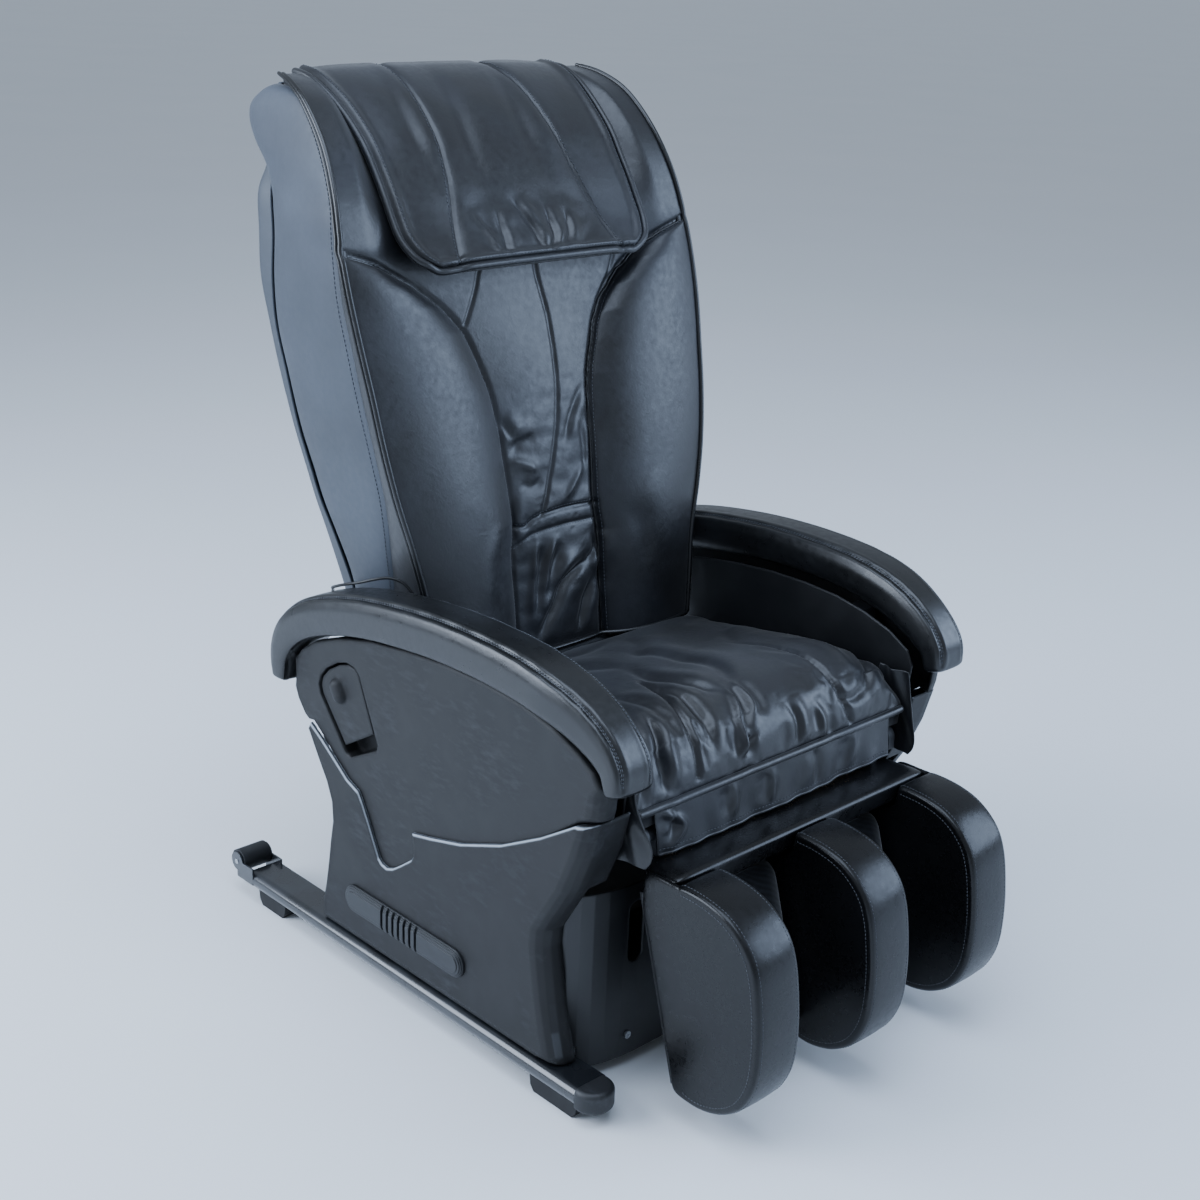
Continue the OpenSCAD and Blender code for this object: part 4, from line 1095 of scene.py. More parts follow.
@dataclass
class HeadrestFlap(Dressed):
    """Padded flap that hangs over the top of the back, with two seams and a piped hem.

    Attributes:
        edge: Edge of the flap from its hem to behind the top: half width, y, z.
        seam: Seam on the left half, from the hem up: x, share of the flap's length.
        rows: Rows of its grid.
        cols: Columns of its grid.
        length: Length of the flap.
        thick: Thickness of its padding.
        stuffing: The padding in it.
        folds: Creases above the hem and along the flap: points of x and distance from the hem, width, depth.
    """

    edge: Sequence[Point] = (
        (172, 203, 941), (200, 215, 954), (213, 234, 976), (215, 250, 1000), (215, 267, 1028),
        (215, 286, 1056), (216, 306, 1084), (217, 330, 1108), (219, 358, 1131), (222, 388, 1150),
        (223, 418, 1162), (222, 446, 1165))
    seam: Sequence[Point] = (
        (146, 0.0), (136, 0.1), (126, 0.2), (117, 0.3), (109, 0.4), (103, 0.52), (99, 0.64), (95, 0.78),
        (90, 0.9), (86, 1.0))
    rows: int = 147
    cols: int = 181
    length: float = 330.0
    thick: float = 14.0
    stuffing: Stuffing = Stuffing(pressure=2.2, slack=0.001, cap=12.0, bend=8.0)
    folds: Sequence[Fold] = (
        (((-54, 84), (-55, 46), (-61, 18)), 9.0, 3.0),
        (((-19, 96), (-4, 55), (0, 22)), 10.0, 4.2),
        (((31, 84), (30, 44), (9, 13)), 9.0, 4.0),
        (((66, 78), (57, 44), (30, 18)), 9.0, 3.2),
        (((-92, 80), (-77, 51), (-70, 22)), 9.0, -2.5),
        (((-119, 304), (-137, 194), (-129, 116), (-127, 43)), 26.0, 2.5),
        (((-27, 308), (-56, 163), (-43, 85)), 30.0, 2.5),
        (((92, 330), (54, 199), (63, 104)), 30.0, 2.5))

    def build(self) -> None:
        """Builds and dresses the flap, its hem and its stitching."""
        line = smooth(self.edge, self.rows)
        u = np.linspace(-1, 1, self.cols)[None, :]
        share = np.linspace(0, 1, self.rows)[:, None]
        half = line[:, :1]
        x = half * u
        seam = np.interp(share[:, 0], *np.asarray(self.seam, float)[:, ::-1].T)[:, None]
        gap = np.abs(np.abs(x) - seam)
        above = share * self.length
        flat = np.stack([x, np.repeat(above, self.cols, axis=1)], axis=-1)
        height = 4 + 8 * (1 - np.abs(u) ** 6) - 2 * bell(gap, 9) - 5 * bell(above, 10)
        held = sewn(gap, 4.0, 3.0)
        held[share[:, 0] > 0.93] = 1
        loose = np.repeat(1 - ease(share, 0.12, 0.45), self.cols, axis=1) * (1 - ease(np.abs(x), 90, 120))
        grid = self.stuffing.settle(raised(line, x, height), held, loose)
        face = normals(grid)
        rim_gap = np.minimum(above, (1 - np.abs(u)) * half)
        dip = 5.0 * bell(rim_gap - 15, 8) - 2.4 * bell(rim_gap - 6, 2.8) - 2.6 * bell(gap, 2.4)
        grid = grid + face * (dip + creases(flat, self.folds))[..., None]
        inner = raised(line, x, np.minimum(height - 6, height - self.thick * (1 - np.abs(u) ** 8)))
        make("headrest_flap_cover", slab(grid, inner), self.looks.seat, "back",
             node="headrest_flap")
        rim = np.vstack([grid[::-1, 0], grid[0, 1:-1], grid[:, -1]])
        rim = smooth(rim[::6], 220) + [0, -1.5, 0]
        make("headrest_hem", tube(rim, 5.2, 10), self.looks.seat, "back", 1)
        rows = []
        for s in (-1, 1):
            col = np.rint((s * (seam + 5) / half + 1) / 2 * (self.cols - 1)).astype(int)[:, 0]
            run = grid[np.arange(self.rows), col] + face[:, self.cols // 2] * 0.4
            rows.append(stitches(smooth(run[2:], 60)))
        inset = np.vstack([grid[::-1, 6], grid[6, 8:-8], grid[:, -7]]) + [0, -0.4, 0.2]
        rows.append(stitches(smooth(inset[::6], 200)))
        make("headrest_stitching", merged(rows), self.looks.thread, "back")


@dataclass
class BackSidePanel(Dressed):
    """Stuffed vinyl panel on one side of the back, stitched along its front edge.

    Attributes:
        side: Which side it is on.
        form: z, front y, rear y, half width at the front and at the rear.
        rows: Rows of its grid.
        cols: Columns of its grid.
    """

    side: Side
    form: Sequence[Point] = (
        (470, 207, 296, 239, 236), (525, 205, 311, 244, 241), (575, 199, 330, 253, 250),
        (620, 191, 347, 263, 259), (665, 188, 358, 272, 267), (722, 193, 374, 283, 276),
        (794, 211.5, 394, 289, 281), (852, 224, 410, 294, 284), (911, 240, 413, 297, 286),
        (970, 250, 411, 297, 285), (1000, 252, 414, 297, 284), (1024, 257, 419, 294, 282),
        (1056, 271, 436, 290, 279), (1082, 288, 462, 285, 277), (1106, 307, 479, 281, 274),
        (1128, 331, 478, 277, 272), (1146, 357, 458, 272, 267), (1155, 384, 440, 267, 264))
    rows: int = 110
    cols: int = 40

    def build(self) -> None:
        """Builds and dresses the panel and its stitching."""
        s = self.side.value
        line = smooth(self.form, self.rows, 2)
        t = np.linspace(0, 1, self.cols)[None, :]
        z, front, rear, wide, narrow = (line[:, k:k + 1] for k in range(5))
        x = wide + (narrow - wide) * t + 1 - 6 * np.abs(2 * t - 1) ** 8 + 2.5 * np.sin(math.pi * t)
        v = np.linspace(0, 1, self.rows)[:, None]
        x = x - 9 * (1 - (1 - np.maximum(0, (v - 0.93) / 0.07) ** 2) ** 0.5)
        x = x + 0.8 * np.sin(z / 41 + 3 * t) * np.sin(math.pi * t)
        y = front + (rear - front) * t
        outer = np.stack([s * x, y, np.broadcast_to(z, x.shape)], axis=-1)
        inner = np.stack([s * (x - 10), y, np.broadcast_to(z, x.shape)], axis=-1)
        make(f"back_side_cover_{self.side.word}", slab(outer, inner, s < 0), self.looks.side,
             "back", 1, node=f"back_side_{self.side.word}")
        make(f"back_side_stitching_{self.side.word}", stitches(outer[:, 3] + [s * 0.4, 0, 0], 6.0, 0.5),
             self.looks.thread, "back")


@dataclass
class BackShell(Dressed):
    """Moulded rear shell of the back.

    Attributes:
        form: z, y of the edge, half width and bulge behind the edge.
        section: Level section from left to right: share of the half width, share of the bulge.
        crown: How much further back the middle lies than the corners.
        rows: Rows of its grid.
        cols: Columns of its grid.
    """

    form: Sequence[Point] = (
        (440, 289, 229, 26), (506, 305.5, 238, 26), (575, 329.5, 250, 20), (620, 346.5, 259, 14),
        (665, 357.5, 267, 13), (722, 373.5, 275, 13), (794, 393.5, 279, 18), (852, 409.5, 282, 17),
        (911, 412.5, 284, 31), (970, 410.5, 283, 37), (1020, 418.5, 279, 34), (1056, 436, 262.5, 16),
        (1082, 446, 260.5, 14), (1106, 450, 257.5, 13), (1128, 452, 255, 10), (1146, 446, 249, 8),
        (1156, 438, 245, 6))
    section: Sequence[Point] = (
        (1, 0), (1, 0.7), (0.988, 0.92), (0.955, 1), (0.8, 1), (0.5, 1), (0, 1), (-0.5, 1), (-0.8, 1),
        (-0.955, 1), (-0.988, 0.92), (-1, 0.7), (-1, 0))
    crown: float = 18.0
    rows: int = 90
    cols: int = 150

    def build(self) -> None:
        """Builds and dresses the shell."""
        line = smooth(self.form, self.rows, 2)
        u, share = smooth(self.section, self.cols, 2).T[:, None, :]
        z, edge, half, bulge = (line[:, k:k + 1] for k in range(4))
        arch = self.crown * (1 - u**2) * (1 - ease(z, 1000, 1090))
        y = edge + 2 + bulge * share + arch
        outer = np.stack([half * u, y, np.broadcast_to(z, y.shape)], axis=-1)
        inner = np.stack([(half - 4) * u, y - 4 * share, np.broadcast_to(z, y.shape)], axis=-1)
        make("back_shell_moulding", slab(outer, inner), self.looks.shell, "back",
             node="back_shell")


# Upholstery of the seat and arms


@dataclass
class SeatCushion(Dressed):
    """Seat cushion with a sewn channel that curves in at each front corner, and a thick front welt.

    Attributes:
        profile: Top line from the front welt to the back: y, z.
        half: Half width.
        low: Height of its underside.
        rim: Height that the top draws in to along the sides.
        brow: y and z where the top turns down to the welt.
        channels: Lines of the sewn channels, from rear to front: x, y.
        rows: Rows of its grid.
        cols: Columns of its grid.
        stuffing: The padding in it.
        folds: Creases that radiate from the front welt, and slack across the seat: points of x and y on the
            flat plan, width, depth.
    """

    profile: Sequence[Point] = (
        (-266, 386), (-263, 410), (-254, 432), (-240, 450), (-218, 464), (-190, 471), (-150, 469),
        (-100, 461), (-40, 449), (20, 438), (60, 432), (92, 427), (107, 420), (113, 408))
    half: float = 252.0
    low: float = 363.0
    rim: float = 388.0
    brow: tuple[float, float] = (-240.0, 450.0)
    channels: Sequence[Sequence[Point]] = (
        ((112, -40), (124, -90), (132, -150), (131, -190), (132, -235), (138, -258), (146, -274)),
        ((-88, -104), (-103, -146), (-117, -180), (-130, -216), (-136, -244), (-142, -270)))
    rows: int = 207
    cols: int = 201
    stuffing: Stuffing = Stuffing(pressure=3.0, slack=0.004, cap=14.0, bend=8.0)
    folds: Sequence[Fold] = (
        (((-30, -196), (-38, -222), (-54, -251), (-60, -296)), 9.0, -8.0),
        (((-11, -192), (-15, -227), (-23, -246)), 9.0, -5.0),
        (((-62, -292), (-48, -275), (-32, -264)), 8.0, 5.0),
        (((-172, -196), (-181, -223), (-192, -250), (-198, -290)), 11.0, 8.0),
        (((-212, -216), (-220, -250), (-224, -290)), 12.0, -6.0),
        (((-100, -150), (-98, -190), (-104, -230), (-110, -270)), 13.0, 5.0),
        (((-9, 0), (10, -56), (13, -135), (-19, -200)), 22.0, 4.0),
        (((-67, -60), (-70, -120), (-55, -175), (-32, -206)), 18.0, 4.5),
        (((36, -246), (44, -268), (40, -300)), 10.0, 4.0),
        (((84, -256), (92, -276), (88, -304)), 12.0, -4.0),
        (((238, -190), (208, -240), (182, -266)), 13.0, 6.0),
        (((176, -120), (186, -180), (176, -236)), 18.0, -4.0),
        (((128, -262), (158, -268), (186, -262)), 10.0, 4.0),
        (((-158, -120), (-150, -180), (-160, -240)), 16.0, 3.5),
        (((-180, 40), (-110, 0), (-60, -50)), 24.0, 3.5),
        (((60, 60), (20, 10), (-30, -40)), 26.0, 3.0),
        (((200, 20), (150, -30), (120, -90)), 22.0, 3.0),
        (((-120, 74), (-40, 52), (30, 72)), 20.0, 2.5))

    def build(self) -> None:
        """Builds and dresses the cushion and its welt."""
        line = smooth(self.profile, self.rows, 2)
        u = np.sin(np.linspace(-1, 1, self.cols) * 1.25) / math.sin(1.25)
        drop = np.abs(u)[None, :] ** 10
        y = np.repeat(line[:, :1], self.cols, axis=1)
        top = line[:, 1:2] - 4
        z = top + (self.rim + 0.35 * (top - self.rim) - top) * drop
        grid = np.stack([np.broadcast_to(u * self.half, y.shape), y, z], axis=-1)
        turn, tall = self.brow
        plan = grid[..., :2].copy()
        plan[..., 1] = np.where(y < turn, turn - (tall - np.minimum(z, tall)), y)
        seams = [smooth(channel, 90, 2) for channel in self.channels]
        for seam in seams:
            seam[:, 1] = np.where(seam[:, 1] < turn, turn + (seam[:, 1] - turn) * 1.6, seam[:, 1])
        gap = np.min([away(plan, seam) for seam in seams], axis=0)
        loose = 1 - ease(plan[..., 1], -200, -90)
        grid = self.stuffing.settle(grid, sewn(gap, 5.0, 4.0, edge=5), loose)
        dip = -6.5 * bell(gap, 4.2) * ease(-plan[..., 1], 50, 150) + creases(plan, self.folds)
        grid = grid + normals(grid) * dip[..., None]
        inner = grid.copy()
        inner[..., 0] *= 0.985
        inner[..., 2] = self.low
        make("seat_cover", slab(grid, inner), self.looks.seat, "base",
             node="seat_cushion")
        run = smooth(grid[2, ::6] + [0, -3.5, -2.0], 120)
        make("seat_welt", tube(run, 5.5, 10), self.looks.seat, "base", 1)


@dataclass
class SeatSkirt(Dressed):
    """Leather skirt that hangs from the front welt over the leg rest hinge.

    Attributes:
        half: Half width.
        top: Height of the welt.
        low: Height of the hem.
        rows: Rows of its grid.
        cols: Columns of its grid.
        folds: Creases in it: points of x and distance from the welt, width, depth.
    """

    half: float = 224.0
    top: float = 386.0
    low: float = 323.0
    rows: int = 26
    cols: int = 120
    folds: Sequence[Fold] = (
        (((-214, 4), (-180, 32), (-206, 58)), 9.0, -5.0),
        (((-196, 2), (-192, 22), (-200, 44)), 8.0, 3.5),
        (((-92, 0), (-84, 24), (-90, 52)), 12.0, -3.5),
        (((-20, 0), (-12, 26), (-18, 56)), 12.0, -3.0),
        (((66, 2), (74, 28), (70, 60)), 14.0, 3.0),
        (((146, 0), (150, 26), (140, 58)), 14.0, -3.0))

    def build(self) -> None:
        """Builds and dresses the skirt, its hem and its stitching."""
        u = np.linspace(-1, 1, self.cols)[None, :]
        t = np.linspace(1, 0, self.rows)[:, None]
        drop = self.top - self.low
        plan = np.stack(np.broadcast_arrays(self.half * u, drop * t), axis=-1)
        wave = 1.4 * np.sin(7.3 * u + 0.6) + 0.8 * np.sin(33 * u)
        wave = wave + 1.8 * np.sin(16.1 * u + 1.9) * (1 - 0.4 * t)
        y = -269.2 - 8.5 * t - wave * t**1.2 - creases(plan, self.folds) * ease(t, 0.0, 0.3)
        z = self.low + drop * (1 - t) + (0.8 * np.sin(6.2 * u + 1.0) + 6 * ease(u, -0.2, 1)) * t
        x = self.half * u * (1 - 0.03 * t)
        outer = np.stack([x, y, z], axis=-1)
        looks = self.looks
        skirt = make("seat_skirt_sheet", slab(outer, outer + [0, 2.0, 0]), looks.seat,
                     level=1, node="seat_skirt")
        edge = make("seat_skirt_hem", tube(outer[0] + [0, 0.8, 1.0], 2.2), looks.seat,
                    level=1)
        sewing = make("seat_skirt_stitching", stitches(outer[3] + [0, -0.5, 0]), looks.thread)
        for piece in (skirt, edge, sewing):
            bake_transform(piece)


@dataclass
class SideSkirt(Dressed):
    """Slack leather gusset between the seat and an arm.

    Attributes:
        side: Which side it is on.
        line: z and y of its front edge.
        rear: y of its rear edge.
        rows: Rows of its grid.
        cols: Columns of its grid.
    """

    side: Side
    line: Sequence[Point] = ((322, -286), (334, -294), (350, -295), (374, -286), (404, -275), (436, -270))
    rear: float = -222.0
    rows: int = 40
    cols: int = 34

    def build(self) -> None:
        """Builds and dresses the gusset."""
        s = self.side.value
        edge = smooth(self.line, self.rows, 2)
        t = np.linspace(0, 1, self.cols)[None, :]
        z = np.repeat(edge[:, :1], self.cols, axis=1)
        y = edge[:, 1:2] + (self.rear - edge[:, 1:2]) * t
        x = 256 + 3.5 * np.sin(5.2 * t + z / 30) + 1.8 * np.sin(11 * t - z / 17)
        outer = np.stack([s * x, y, z], axis=-1)
        inner = outer - [s * 2.0, 0, 0]
        gusset = make(f"side_skirt_sheet_{self.side.word}", slab(outer, inner, s < 0), self.looks.seat,
                      "base", 1, node=f"side_skirt_{self.side.word}")


@dataclass
class ArmPad(Dressed):
    """Arched arm pad: foam on a moulded core under smooth leather, with a stitched seam on each upper edge.

    Attributes:
        side: Which side it is on.
        line: Middle line from tail to nose: y, z, thickness.
        outer: Half width of the chair over the arms.
        width: Width of the pad.
        lip: How far the outer lower edge hangs over the side cover.
        rows: Rows of its grid.
        cols: Columns of its grid.
        power: How square its section is, from 1, round, towards 0, a box.
        seams: Where the seams lie on the section, in degrees from its outer side.
        ends: Rounding of both ends: share of the section, distance past the end.
    """

    side: Side
    line: Sequence[Point] = (
        (346, 384, 34), (344, 420, 46), (326, 452, 54), (288, 480, 57), (230, 503, 58), (160, 521, 59),
        (80, 533, 60), (0, 540, 60), (-80, 541, 60), (-150, 536, 60), (-210, 522, 60), (-256, 500, 55),
        (-287, 474, 44), (-296, 446, 32))
    outer: float = 340.0
    width: float = 75.0
    lip: float = 5.0
    rows: int = 130
    cols: int = 80
    power: float = 2 / 3.0
    seams: Sequence[float] = (53, 127)
    ends: Sequence[Point] = ((0.30, 6.5), (0.62, 6.0), (0.84, 4.6), (0.95, 2.4))

    def build(self) -> None:
        """Builds and dresses the pad and its seams."""
        s = self.side.value
        line = smooth(self.line, self.rows, 2)
        way = unit(np.gradient(line[:, :2], axis=0))
        turn = np.linspace(0, 2 * math.pi, self.cols, endpoint=False)
        across, up = (np.sign(k) * np.abs(k) ** self.power for k in (np.cos(turn), np.sin(turn)))
        inner = self.outer - self.width
        steps = [(0, f, -d) for f, d in self.ends]
        steps += [(k, 1.0, 0.0) for k in range(self.rows)]
        steps += [(self.rows - 1, f, d) for f, d in self.ends[::-1]]
        rings = []
        for k, f, d in steps:
            thick = line[k, 2] / 2
            spot = line[k, :2] + d * way[k]
            outer = self.outer - 12 * ease(-line[k, 0], 170, 290)
            x = (outer + inner) / 2 + f * across * (outer - inner) / 2
            lip = self.lip * ease(across, 0.72, 0.95) * ease(-up, 0.0, 0.6) * ease(line[k, 0], -250, -120)
            rise = f * up * thick - f * lip
            rings.append(np.stack([x, spot[0] + rise * way[k, 1], spot[1] - rise * way[k, 0]], 1))
        grid = np.array(rings)
        grid[..., 0] *= s
        if s < 0:
            grid = grid[:, ::-1]
        columns = [int(round(degrees / 360 * self.cols)) for degrees in self.seams]
        if s < 0:
            columns = [self.cols - 1 - j for j in columns]
        runs = [smooth(grid[6:-5:3, j], 300) for j in columns]
        gap = np.min([away(grid, run[::2]) for run in runs], axis=0)
        dip = 1.2 * bell(gap - 7, 4.0) - 2.8 * bell(gap, 2.8)
        grid = grid + normals(grid, True) * dip[..., None]
        make(f"arm_pad_cover_{self.side.word}", loft(grid), self.looks.arm, "base", 1,
             node=f"arm_pad_{self.side.word}")
        rows = []
        for j, run in zip(columns, runs):
            for step in (-1, 1):
                near = smooth(grid[6:-5:3, j + step], 300) * 0.55 + run * 0.45
                rows.append(stitches(near + [0, 0, 0.6], 5.0, 0.5))
        make(f"arm_stitching_{self.side.word}", merged(rows), self.looks.thread, "base")


# Leg rest


@dataclass
class LegFin(Dressed):
    """Padded fin of the leg rest: flat sides, and a smooth front band between two stitched edges.

    Attributes:
        node: Node that it stands for.
        x: Middle of the fin.
        wrap: Side of the fin that laps back over the edge of the board: -1, 0 or 1.
        outline: Side outline: y, z.
        core: Middle of the flat sides: y, z.
        width: Width of the fin.
        count: Number of points round the outline.
        round_off: Rounding of one edge, from the flat side to the middle of the band: distance from the flat
            side, inset of the outline, share of the outline's size.
    """

    node: str
    x: float
    wrap: int = 0
    outline: Sequence[Point] = (
        (-329.5, 306), (-332, 317), (-345, 319.5), (-375, 318), (-405, 311), (-430, 297), (-450, 276),
        (-462, 248), (-469, 212), (-473, 170), (-472, 126), (-464, 94), (-447, 66), (-420, 46), (-388, 36),
        (-362, 37), (-350, 46), (-342, 75), (-320, 150), (-300, 217), (-284.5, 270), (-296, 284), (-324, 286))
    core: tuple[float, float] = (-385.0, 185.0)
    width: float = 75.0
    count: int = 150
    round_off: Sequence[Point] = (
        (-1.0, 8.0, 0.35), (-1.0, 8.0, 0.6), (-0.6, 8.0, 0.8), (0.0, 8.0, 1.0), (0.3, 5.5, 1.0),
        (1.2, 3.4, 1.0), (3.2, 1.6, 1.0), (6.0, 1.2, 1.0), (10.0, 0.6, 1.0))

    def build(self) -> None:
        """Builds and dresses the fin and its stitching."""
        loop = closed(self.outline, self.count)
        core = np.array(self.core)
        half = self.width / 2
        form = [(d - half, inset, share) for d, inset, share in self.round_off]
        form += [(-half / 2, 0.0, 1.0), (0.0, -0.4, 1.0)]
        form += [(-x, inset, share) for x, inset, share in form[-2::-1]]
        rings = []
        for x, inset, share in form:
            ring = core + (shrunk(loop, inset) - core) * share
            lap = share * ease(self.wrap * x, half - 10, half - 6)
            rise = 318 - (inset if share == 1.0 else 0.0) - ring[:, 1]
            fill = ease(ring[:, 0], -345, -333) * ease(ring[:, 1], 262, 284) * rise
            ring[:, 0] += 11 * lap * ease(ring[:, 0] + 0.3 * (285 - ring[:, 1]), -310, -290)
            ring[:, 1] += lap * np.maximum(fill, 0)
            rings.append(stood(self.x + x, ring))
        make(f"{self.node}_cover", loft(np.array(rings)), self.looks.fin, "leg", 1,
             node=self.node)
        front = loop[(loop[:, 0] < -346) | (loop[:, 1] > 300)]
        start = int(np.argmax(np.linalg.norm(np.diff(front, axis=0), axis=1))) + 1
        front = np.roll(front, -start, 0)
        rows = [stitches(stood(self.x + side * x, shrunk(front, inset)[3:-3]), 5.0, 0.5)
                for side in (-1, 1) for inset, x in ((1.0, half - 7.5), (11.0, half + 0.3))]
        make(f"{self.node}_stitching", merged(rows), self.looks.thread, "leg")


@dataclass
class CalfPads(Dressed):
    """Knit-covered calf wells between the fins.

    Attributes:
        pitch: Distance between the middles of the fins.
        half: Half width of one well.
        outline: Side outline: y, z.
    """

    pitch: float = 207.0
    half: float = 63.5
    outline: Sequence[Point] = (
        (-286.5, 268), (-300, 271), (-313, 262), (-322, 240), (-340, 180), (-356, 126), (-368, 86),
        (-369, 70), (-360, 61), (-348, 60), (-336, 98), (-314, 174))

    def build(self) -> None:
        """Builds and dresses the wells."""
        loop = closed(self.outline, 96)
        shapes = []
        for s in (-1, 1):
            rings = []
            for t in np.linspace(-1, 1, 33):
                ring = shrunk(loop, 6 * abs(t) ** 10 + 0.4)
                sink = 9 * (1 - t * t) - 5 * math.exp(-((abs(t) - 0.72) / 0.16) ** 2)
                ring[:, 0] += np.where(ring[:, 0] < -305 + 0.29 * (ring[:, 1] - 260), max(sink, 0.0), 0)
                rings.append(stood(s * self.pitch / 2 + t * self.half, ring))
            shapes.append(loft(np.array(rings)))
        make("calf_well_covers", merged(shapes), self.looks.knit, "leg", 1,
             node="calf_pads")


@dataclass
class LegTopPad(Dressed):
    """Padded band across the top of the leg rest.

    Attributes:
        outline: Side outline: y, z.
        half: Half width.
    """

    outline: Sequence[Point] = (
        (-318, 290), (-286, 291), (-270, 301), (-260, 310), (-259, 315), (-264, 318), (-278, 319),
        (-292, 320), (-304, 321), (-314, 321), (-322, 320.5), (-327, 318), (-328, 312), (-327, 298),
        (-324, 292))
    half: float = 238.0

    def build(self) -> None:
        """Builds and dresses the band."""
        loop = closed(self.outline, 48)
        rings = []
        for t in np.linspace(-1, 1, 80):
            ring = shrunk(loop, 6.5 * abs(t) ** 24 + 0.3 * math.sin(19 * t) * math.sin(7 * t))
            rings.append(stood(t * self.half, ring))
        make("leg_band_cover", loft(np.array(rings)), self.looks.fin, "leg", 1,
             node="leg_top_pad")


# Lead, hard parts and studio


@dataclass
class HandsetLead(Dressed):
    """Thin round lead from the rear panel over the right arm to the handset.

    Attributes:
        route: Points of the lead, from its socket to the handset.
        radius: Half its thickness.
    """

    route: Sequence[Point] = (
        (-232, 246.4, 150), (-233, 256, 151), (-237, 269, 158), (-246, 285, 176), (-254, 302, 200),
        (-260, 322, 232), (-263, 338, 268), (-264, 350, 306), (-262, 358, 346), (-260, 361, 386),
        (-259, 355, 424), (-259, 342, 458), (-261, 326, 485), (-267, 311, 502), (-278, 296, 512),
        (-290, 279, 521), (-298, 257, 531), (-301, 233, 541), (-298, 210, 549), (-289, 190, 557),
        (-277, 174, 561), (-265, 161, 556), (-257, 150, 542), (-253, 138, 522), (-252, 125, 502),
        (-252, 112, 487), (-252, 101, 481), (-252, 92.5, 479))
    radius: float = 2.0

    def build(self) -> None:
        """Builds and dresses the lead."""
        path = smooth(self.route, 160)
        lead = make("handset_lead", tube(path, self.radius, 10), self.looks.jacket, "base",
                    node="handset_cord")


@dataclass
class HardParts(Dressed):
    """Hard parts that keep their construction shape and get their finish here."""

    def build(self) -> None:
        """Gives each shown hard part its finish."""
        groups = {
            "rail": ("rail_right", "rail_left"),
            "roller": ("rail_cap_right", "rail_cap_left", "roller_right", "roller_left"),
            "pad": ("floor_pads",),
            "steel": ("roller_axles", "kick_screws", "push_rod", "guide_rails", "lead_screw"),
            "frame": ("base_frame", "seat_frame", "back_frame", "leg_frame", "gas_spring", "unit_motors"),
            "panel": ("kick_panel", "rear_panel", "inner_panel_right", "inner_panel_left", "leg_board",
                      "control_box"),
            "gadget": ("mains_inlet", "power_switch", "handset_socket", "handset"),
            "board": ("seat_board",),
            "cover": ("upper_cover_right", "upper_cover_left", "recline_lever"),
            "ledge_with_painted_highlight": ("lower_cover_right", "lower_cover_left"),
            "grip": ("side_grip_right", "side_grip_left"),
            "casting": ("carriage", "knead_arm_right", "knead_arm_left"),
            "wheel": ("wheel_right_upper", "wheel_right_lower", "wheel_left_upper", "wheel_left_lower"),
        }
        for finish, nodes in groups.items():
            for node in nodes:
                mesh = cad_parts[node].data
                mesh.materials.clear()
                mesh.materials.append(getattr(self.looks, finish))
                LOG.info("%s: %s", node, finish)


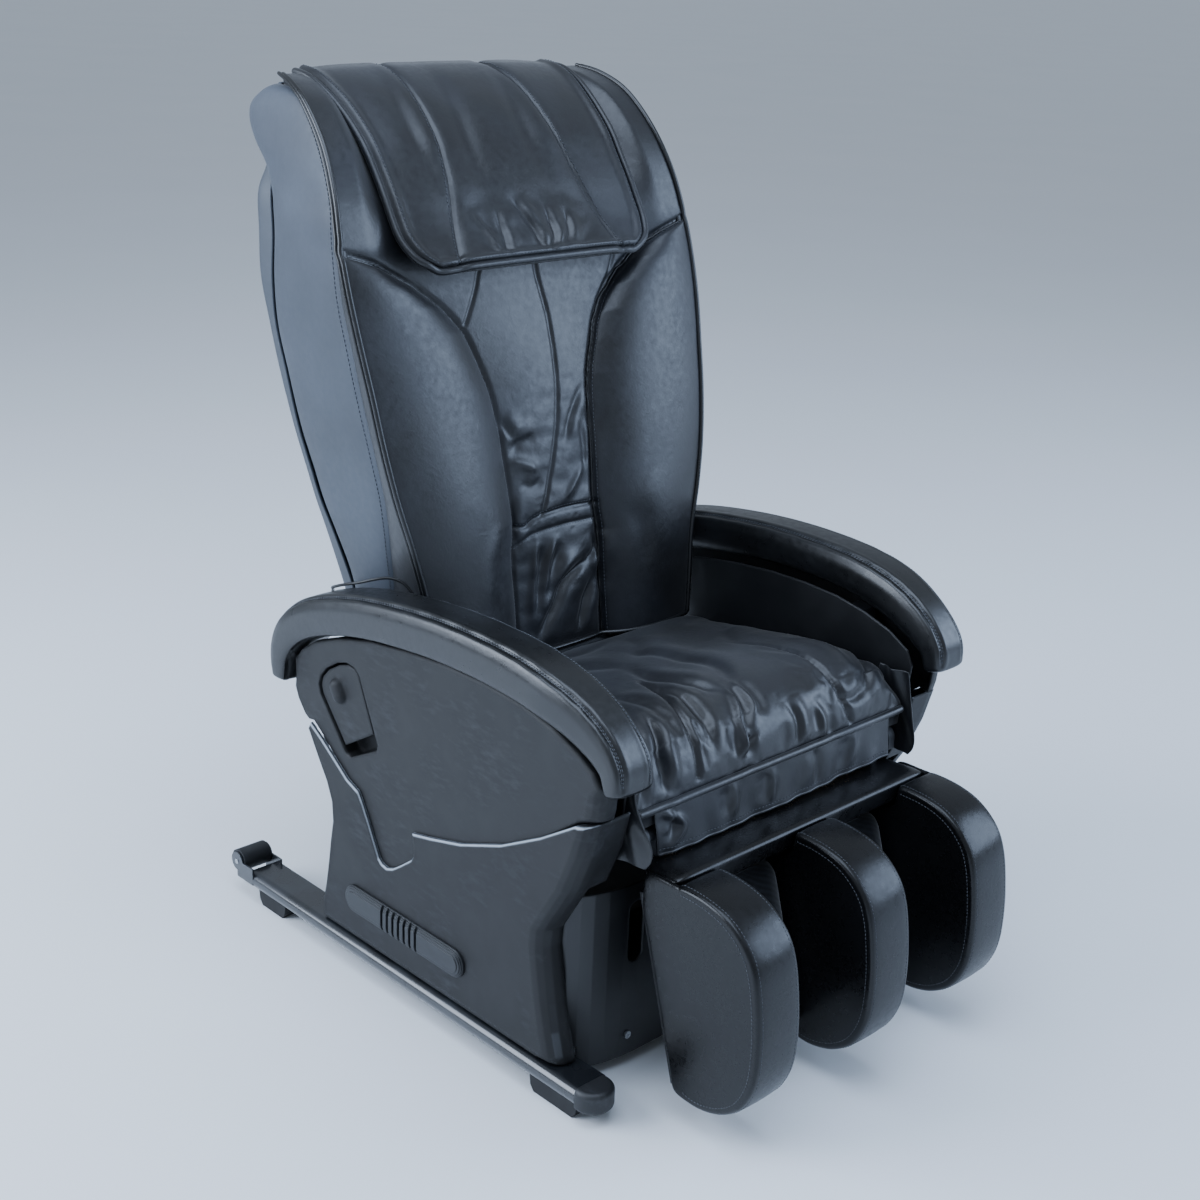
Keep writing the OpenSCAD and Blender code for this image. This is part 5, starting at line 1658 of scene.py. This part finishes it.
@dataclass
class Studio:
    """Pale floor, soft light and a camera at the photographed angle.

    Attributes:
        spot: Place of the camera in mm.
        yaw: Turn of the camera to the right, in degrees.
        pitch: Tilt of the camera down.
        roll: Roll of the camera.
        focal: Focal length in image widths.
        spots: Number of cloudy spots to a metre of the floor.
    """

    spot: Point = (-1624.0, -1596.8, 1359.8)
    yaw: float = 44.33
    pitch: float = 20.31
    roll: float = 2.32
    focal: float = 1819.4 / 1200
    spots: float = 1.2

    def build(self) -> None:
        """Sets up camera, floor and lights."""
        self.camera()
        self.floor()
        self.light("window_left", (-2.7, 1.6, 1.9), (0, 0.1, 0.7), 2.4, 170, "#dceaff")
        self.light("sky_over", (-0.6, -0.4, 3.2), (0, 0.1, 0.5), 2.4, 90, "#d2e4ff")
        self.light("window_right", (2.9, -2.5, 1.9), (0, 0.1, 0.8), 2.6, 135, "#c6ddff")
        world = bpy.data.worlds.new("pale_room")
        world.use_nodes = True
        world.node_tree.nodes["Background"].inputs["Color"].default_value = linear("#d8e6f8")
        world.node_tree.nodes["Background"].inputs["Strength"].default_value = 0.6
        bpy.context.scene.world = world

    def camera(self) -> None:
        """Places the camera."""
        yaw, pitch, roll = (math.radians(a) for a in (self.yaw, self.pitch, self.roll))
        ahead = Vector((math.sin(yaw) * math.cos(pitch), math.cos(yaw) * math.cos(pitch), -math.sin(pitch)))
        right = Vector((math.cos(yaw), -math.sin(yaw), 0))
        up = right.cross(ahead)
        level = math.cos(roll) * right + math.sin(roll) * up
        tall = -math.sin(roll) * right + math.cos(roll) * up
        data = bpy.data.cameras.new("camera")
        data.sensor_fit = "HORIZONTAL"
        data.sensor_width = 36
        data.lens = 36 * self.focal
        data.clip_end = 200
        camera = bpy.data.objects.new("camera", data)
        turn = Matrix((level, tall, -ahead)).transposed().to_4x4()
        camera.matrix_world = Matrix.Translation(Vector(self.spot) * MM) @ turn
        bpy.context.scene.collection.objects.link(camera)
        bpy.context.scene.camera = camera

    def floor(self) -> None:
        """Lays a wide pale floor."""
        shader = Shader("pale_matt_floor")
        tone = shader.noise(1000 / self.spots, 2.0)
        finish = shader.done({"Base Color": shader.mix(tone, "#e6eaee", "#eceff2"), "Roughness": 0.6})
        mesh = bpy.data.meshes.new("floor")
        mesh.from_pydata([(-80, -80, 0), (80, -80, 0), (80, 80, 0), (-80, 80, 0)], [], [(0, 1, 2, 3)])
        mesh.materials.append(finish)
        floor = bpy.data.objects.new("floor", mesh)
        bpy.context.scene.collection.objects.link(floor)

    def light(self, name: str, place: Point, aim: Point, size: float, power: float, colour: str) -> None:
        """Hangs one soft square light.

        Args:
            name: Name of the light.
            place: Where it hangs, in metres.
            aim: Point that it faces.
            size: Side of the square in metres.
            power: Power in watts.
            colour: Colour of the light.
        """
        data = bpy.data.lights.new(name, "AREA")
        data.shape = "SQUARE"
        data.size = size
        data.energy = power
        data.color = linear(colour)[:3]
        lamp = bpy.data.objects.new(name, data)
        way = Vector(aim) - Vector(place)
        lamp.matrix_world = Matrix.Translation(place) @ way.to_track_quat("-Z", "Y").to_matrix().to_4x4()
        bpy.context.scene.collection.objects.link(lamp)


def main() -> None:
    """Builds the chair's looks in order."""
    logging.basicConfig(level=logging.INFO, format="%(name)s %(message)s")
    Studio().build()
    looks = Finishes()
    pieces = [HandsetLead(looks), HardParts(looks), BackShell(looks)]
    pieces += [BackSidePanel(looks, side) for side in Side]
    pieces += [BackCushion(looks), HeadrestFlap(looks), SeatCushion(looks), SeatSkirt(looks)]
    for side in Side:
        pieces += [SideSkirt(looks, side), ArmPad(looks, side)]
    for node, x, wrap in (("fin_right", -207.0, -1), ("fin_middle", 0.0, 0), ("fin_left", 207.0, 1)):
        pieces.append(LegFin(looks, node, x, wrap))
    pieces += [CalfPads(looks), LegTopPad(looks)]
    for piece in pieces:
        piece.build()


if __name__ == "__main__":
    main()
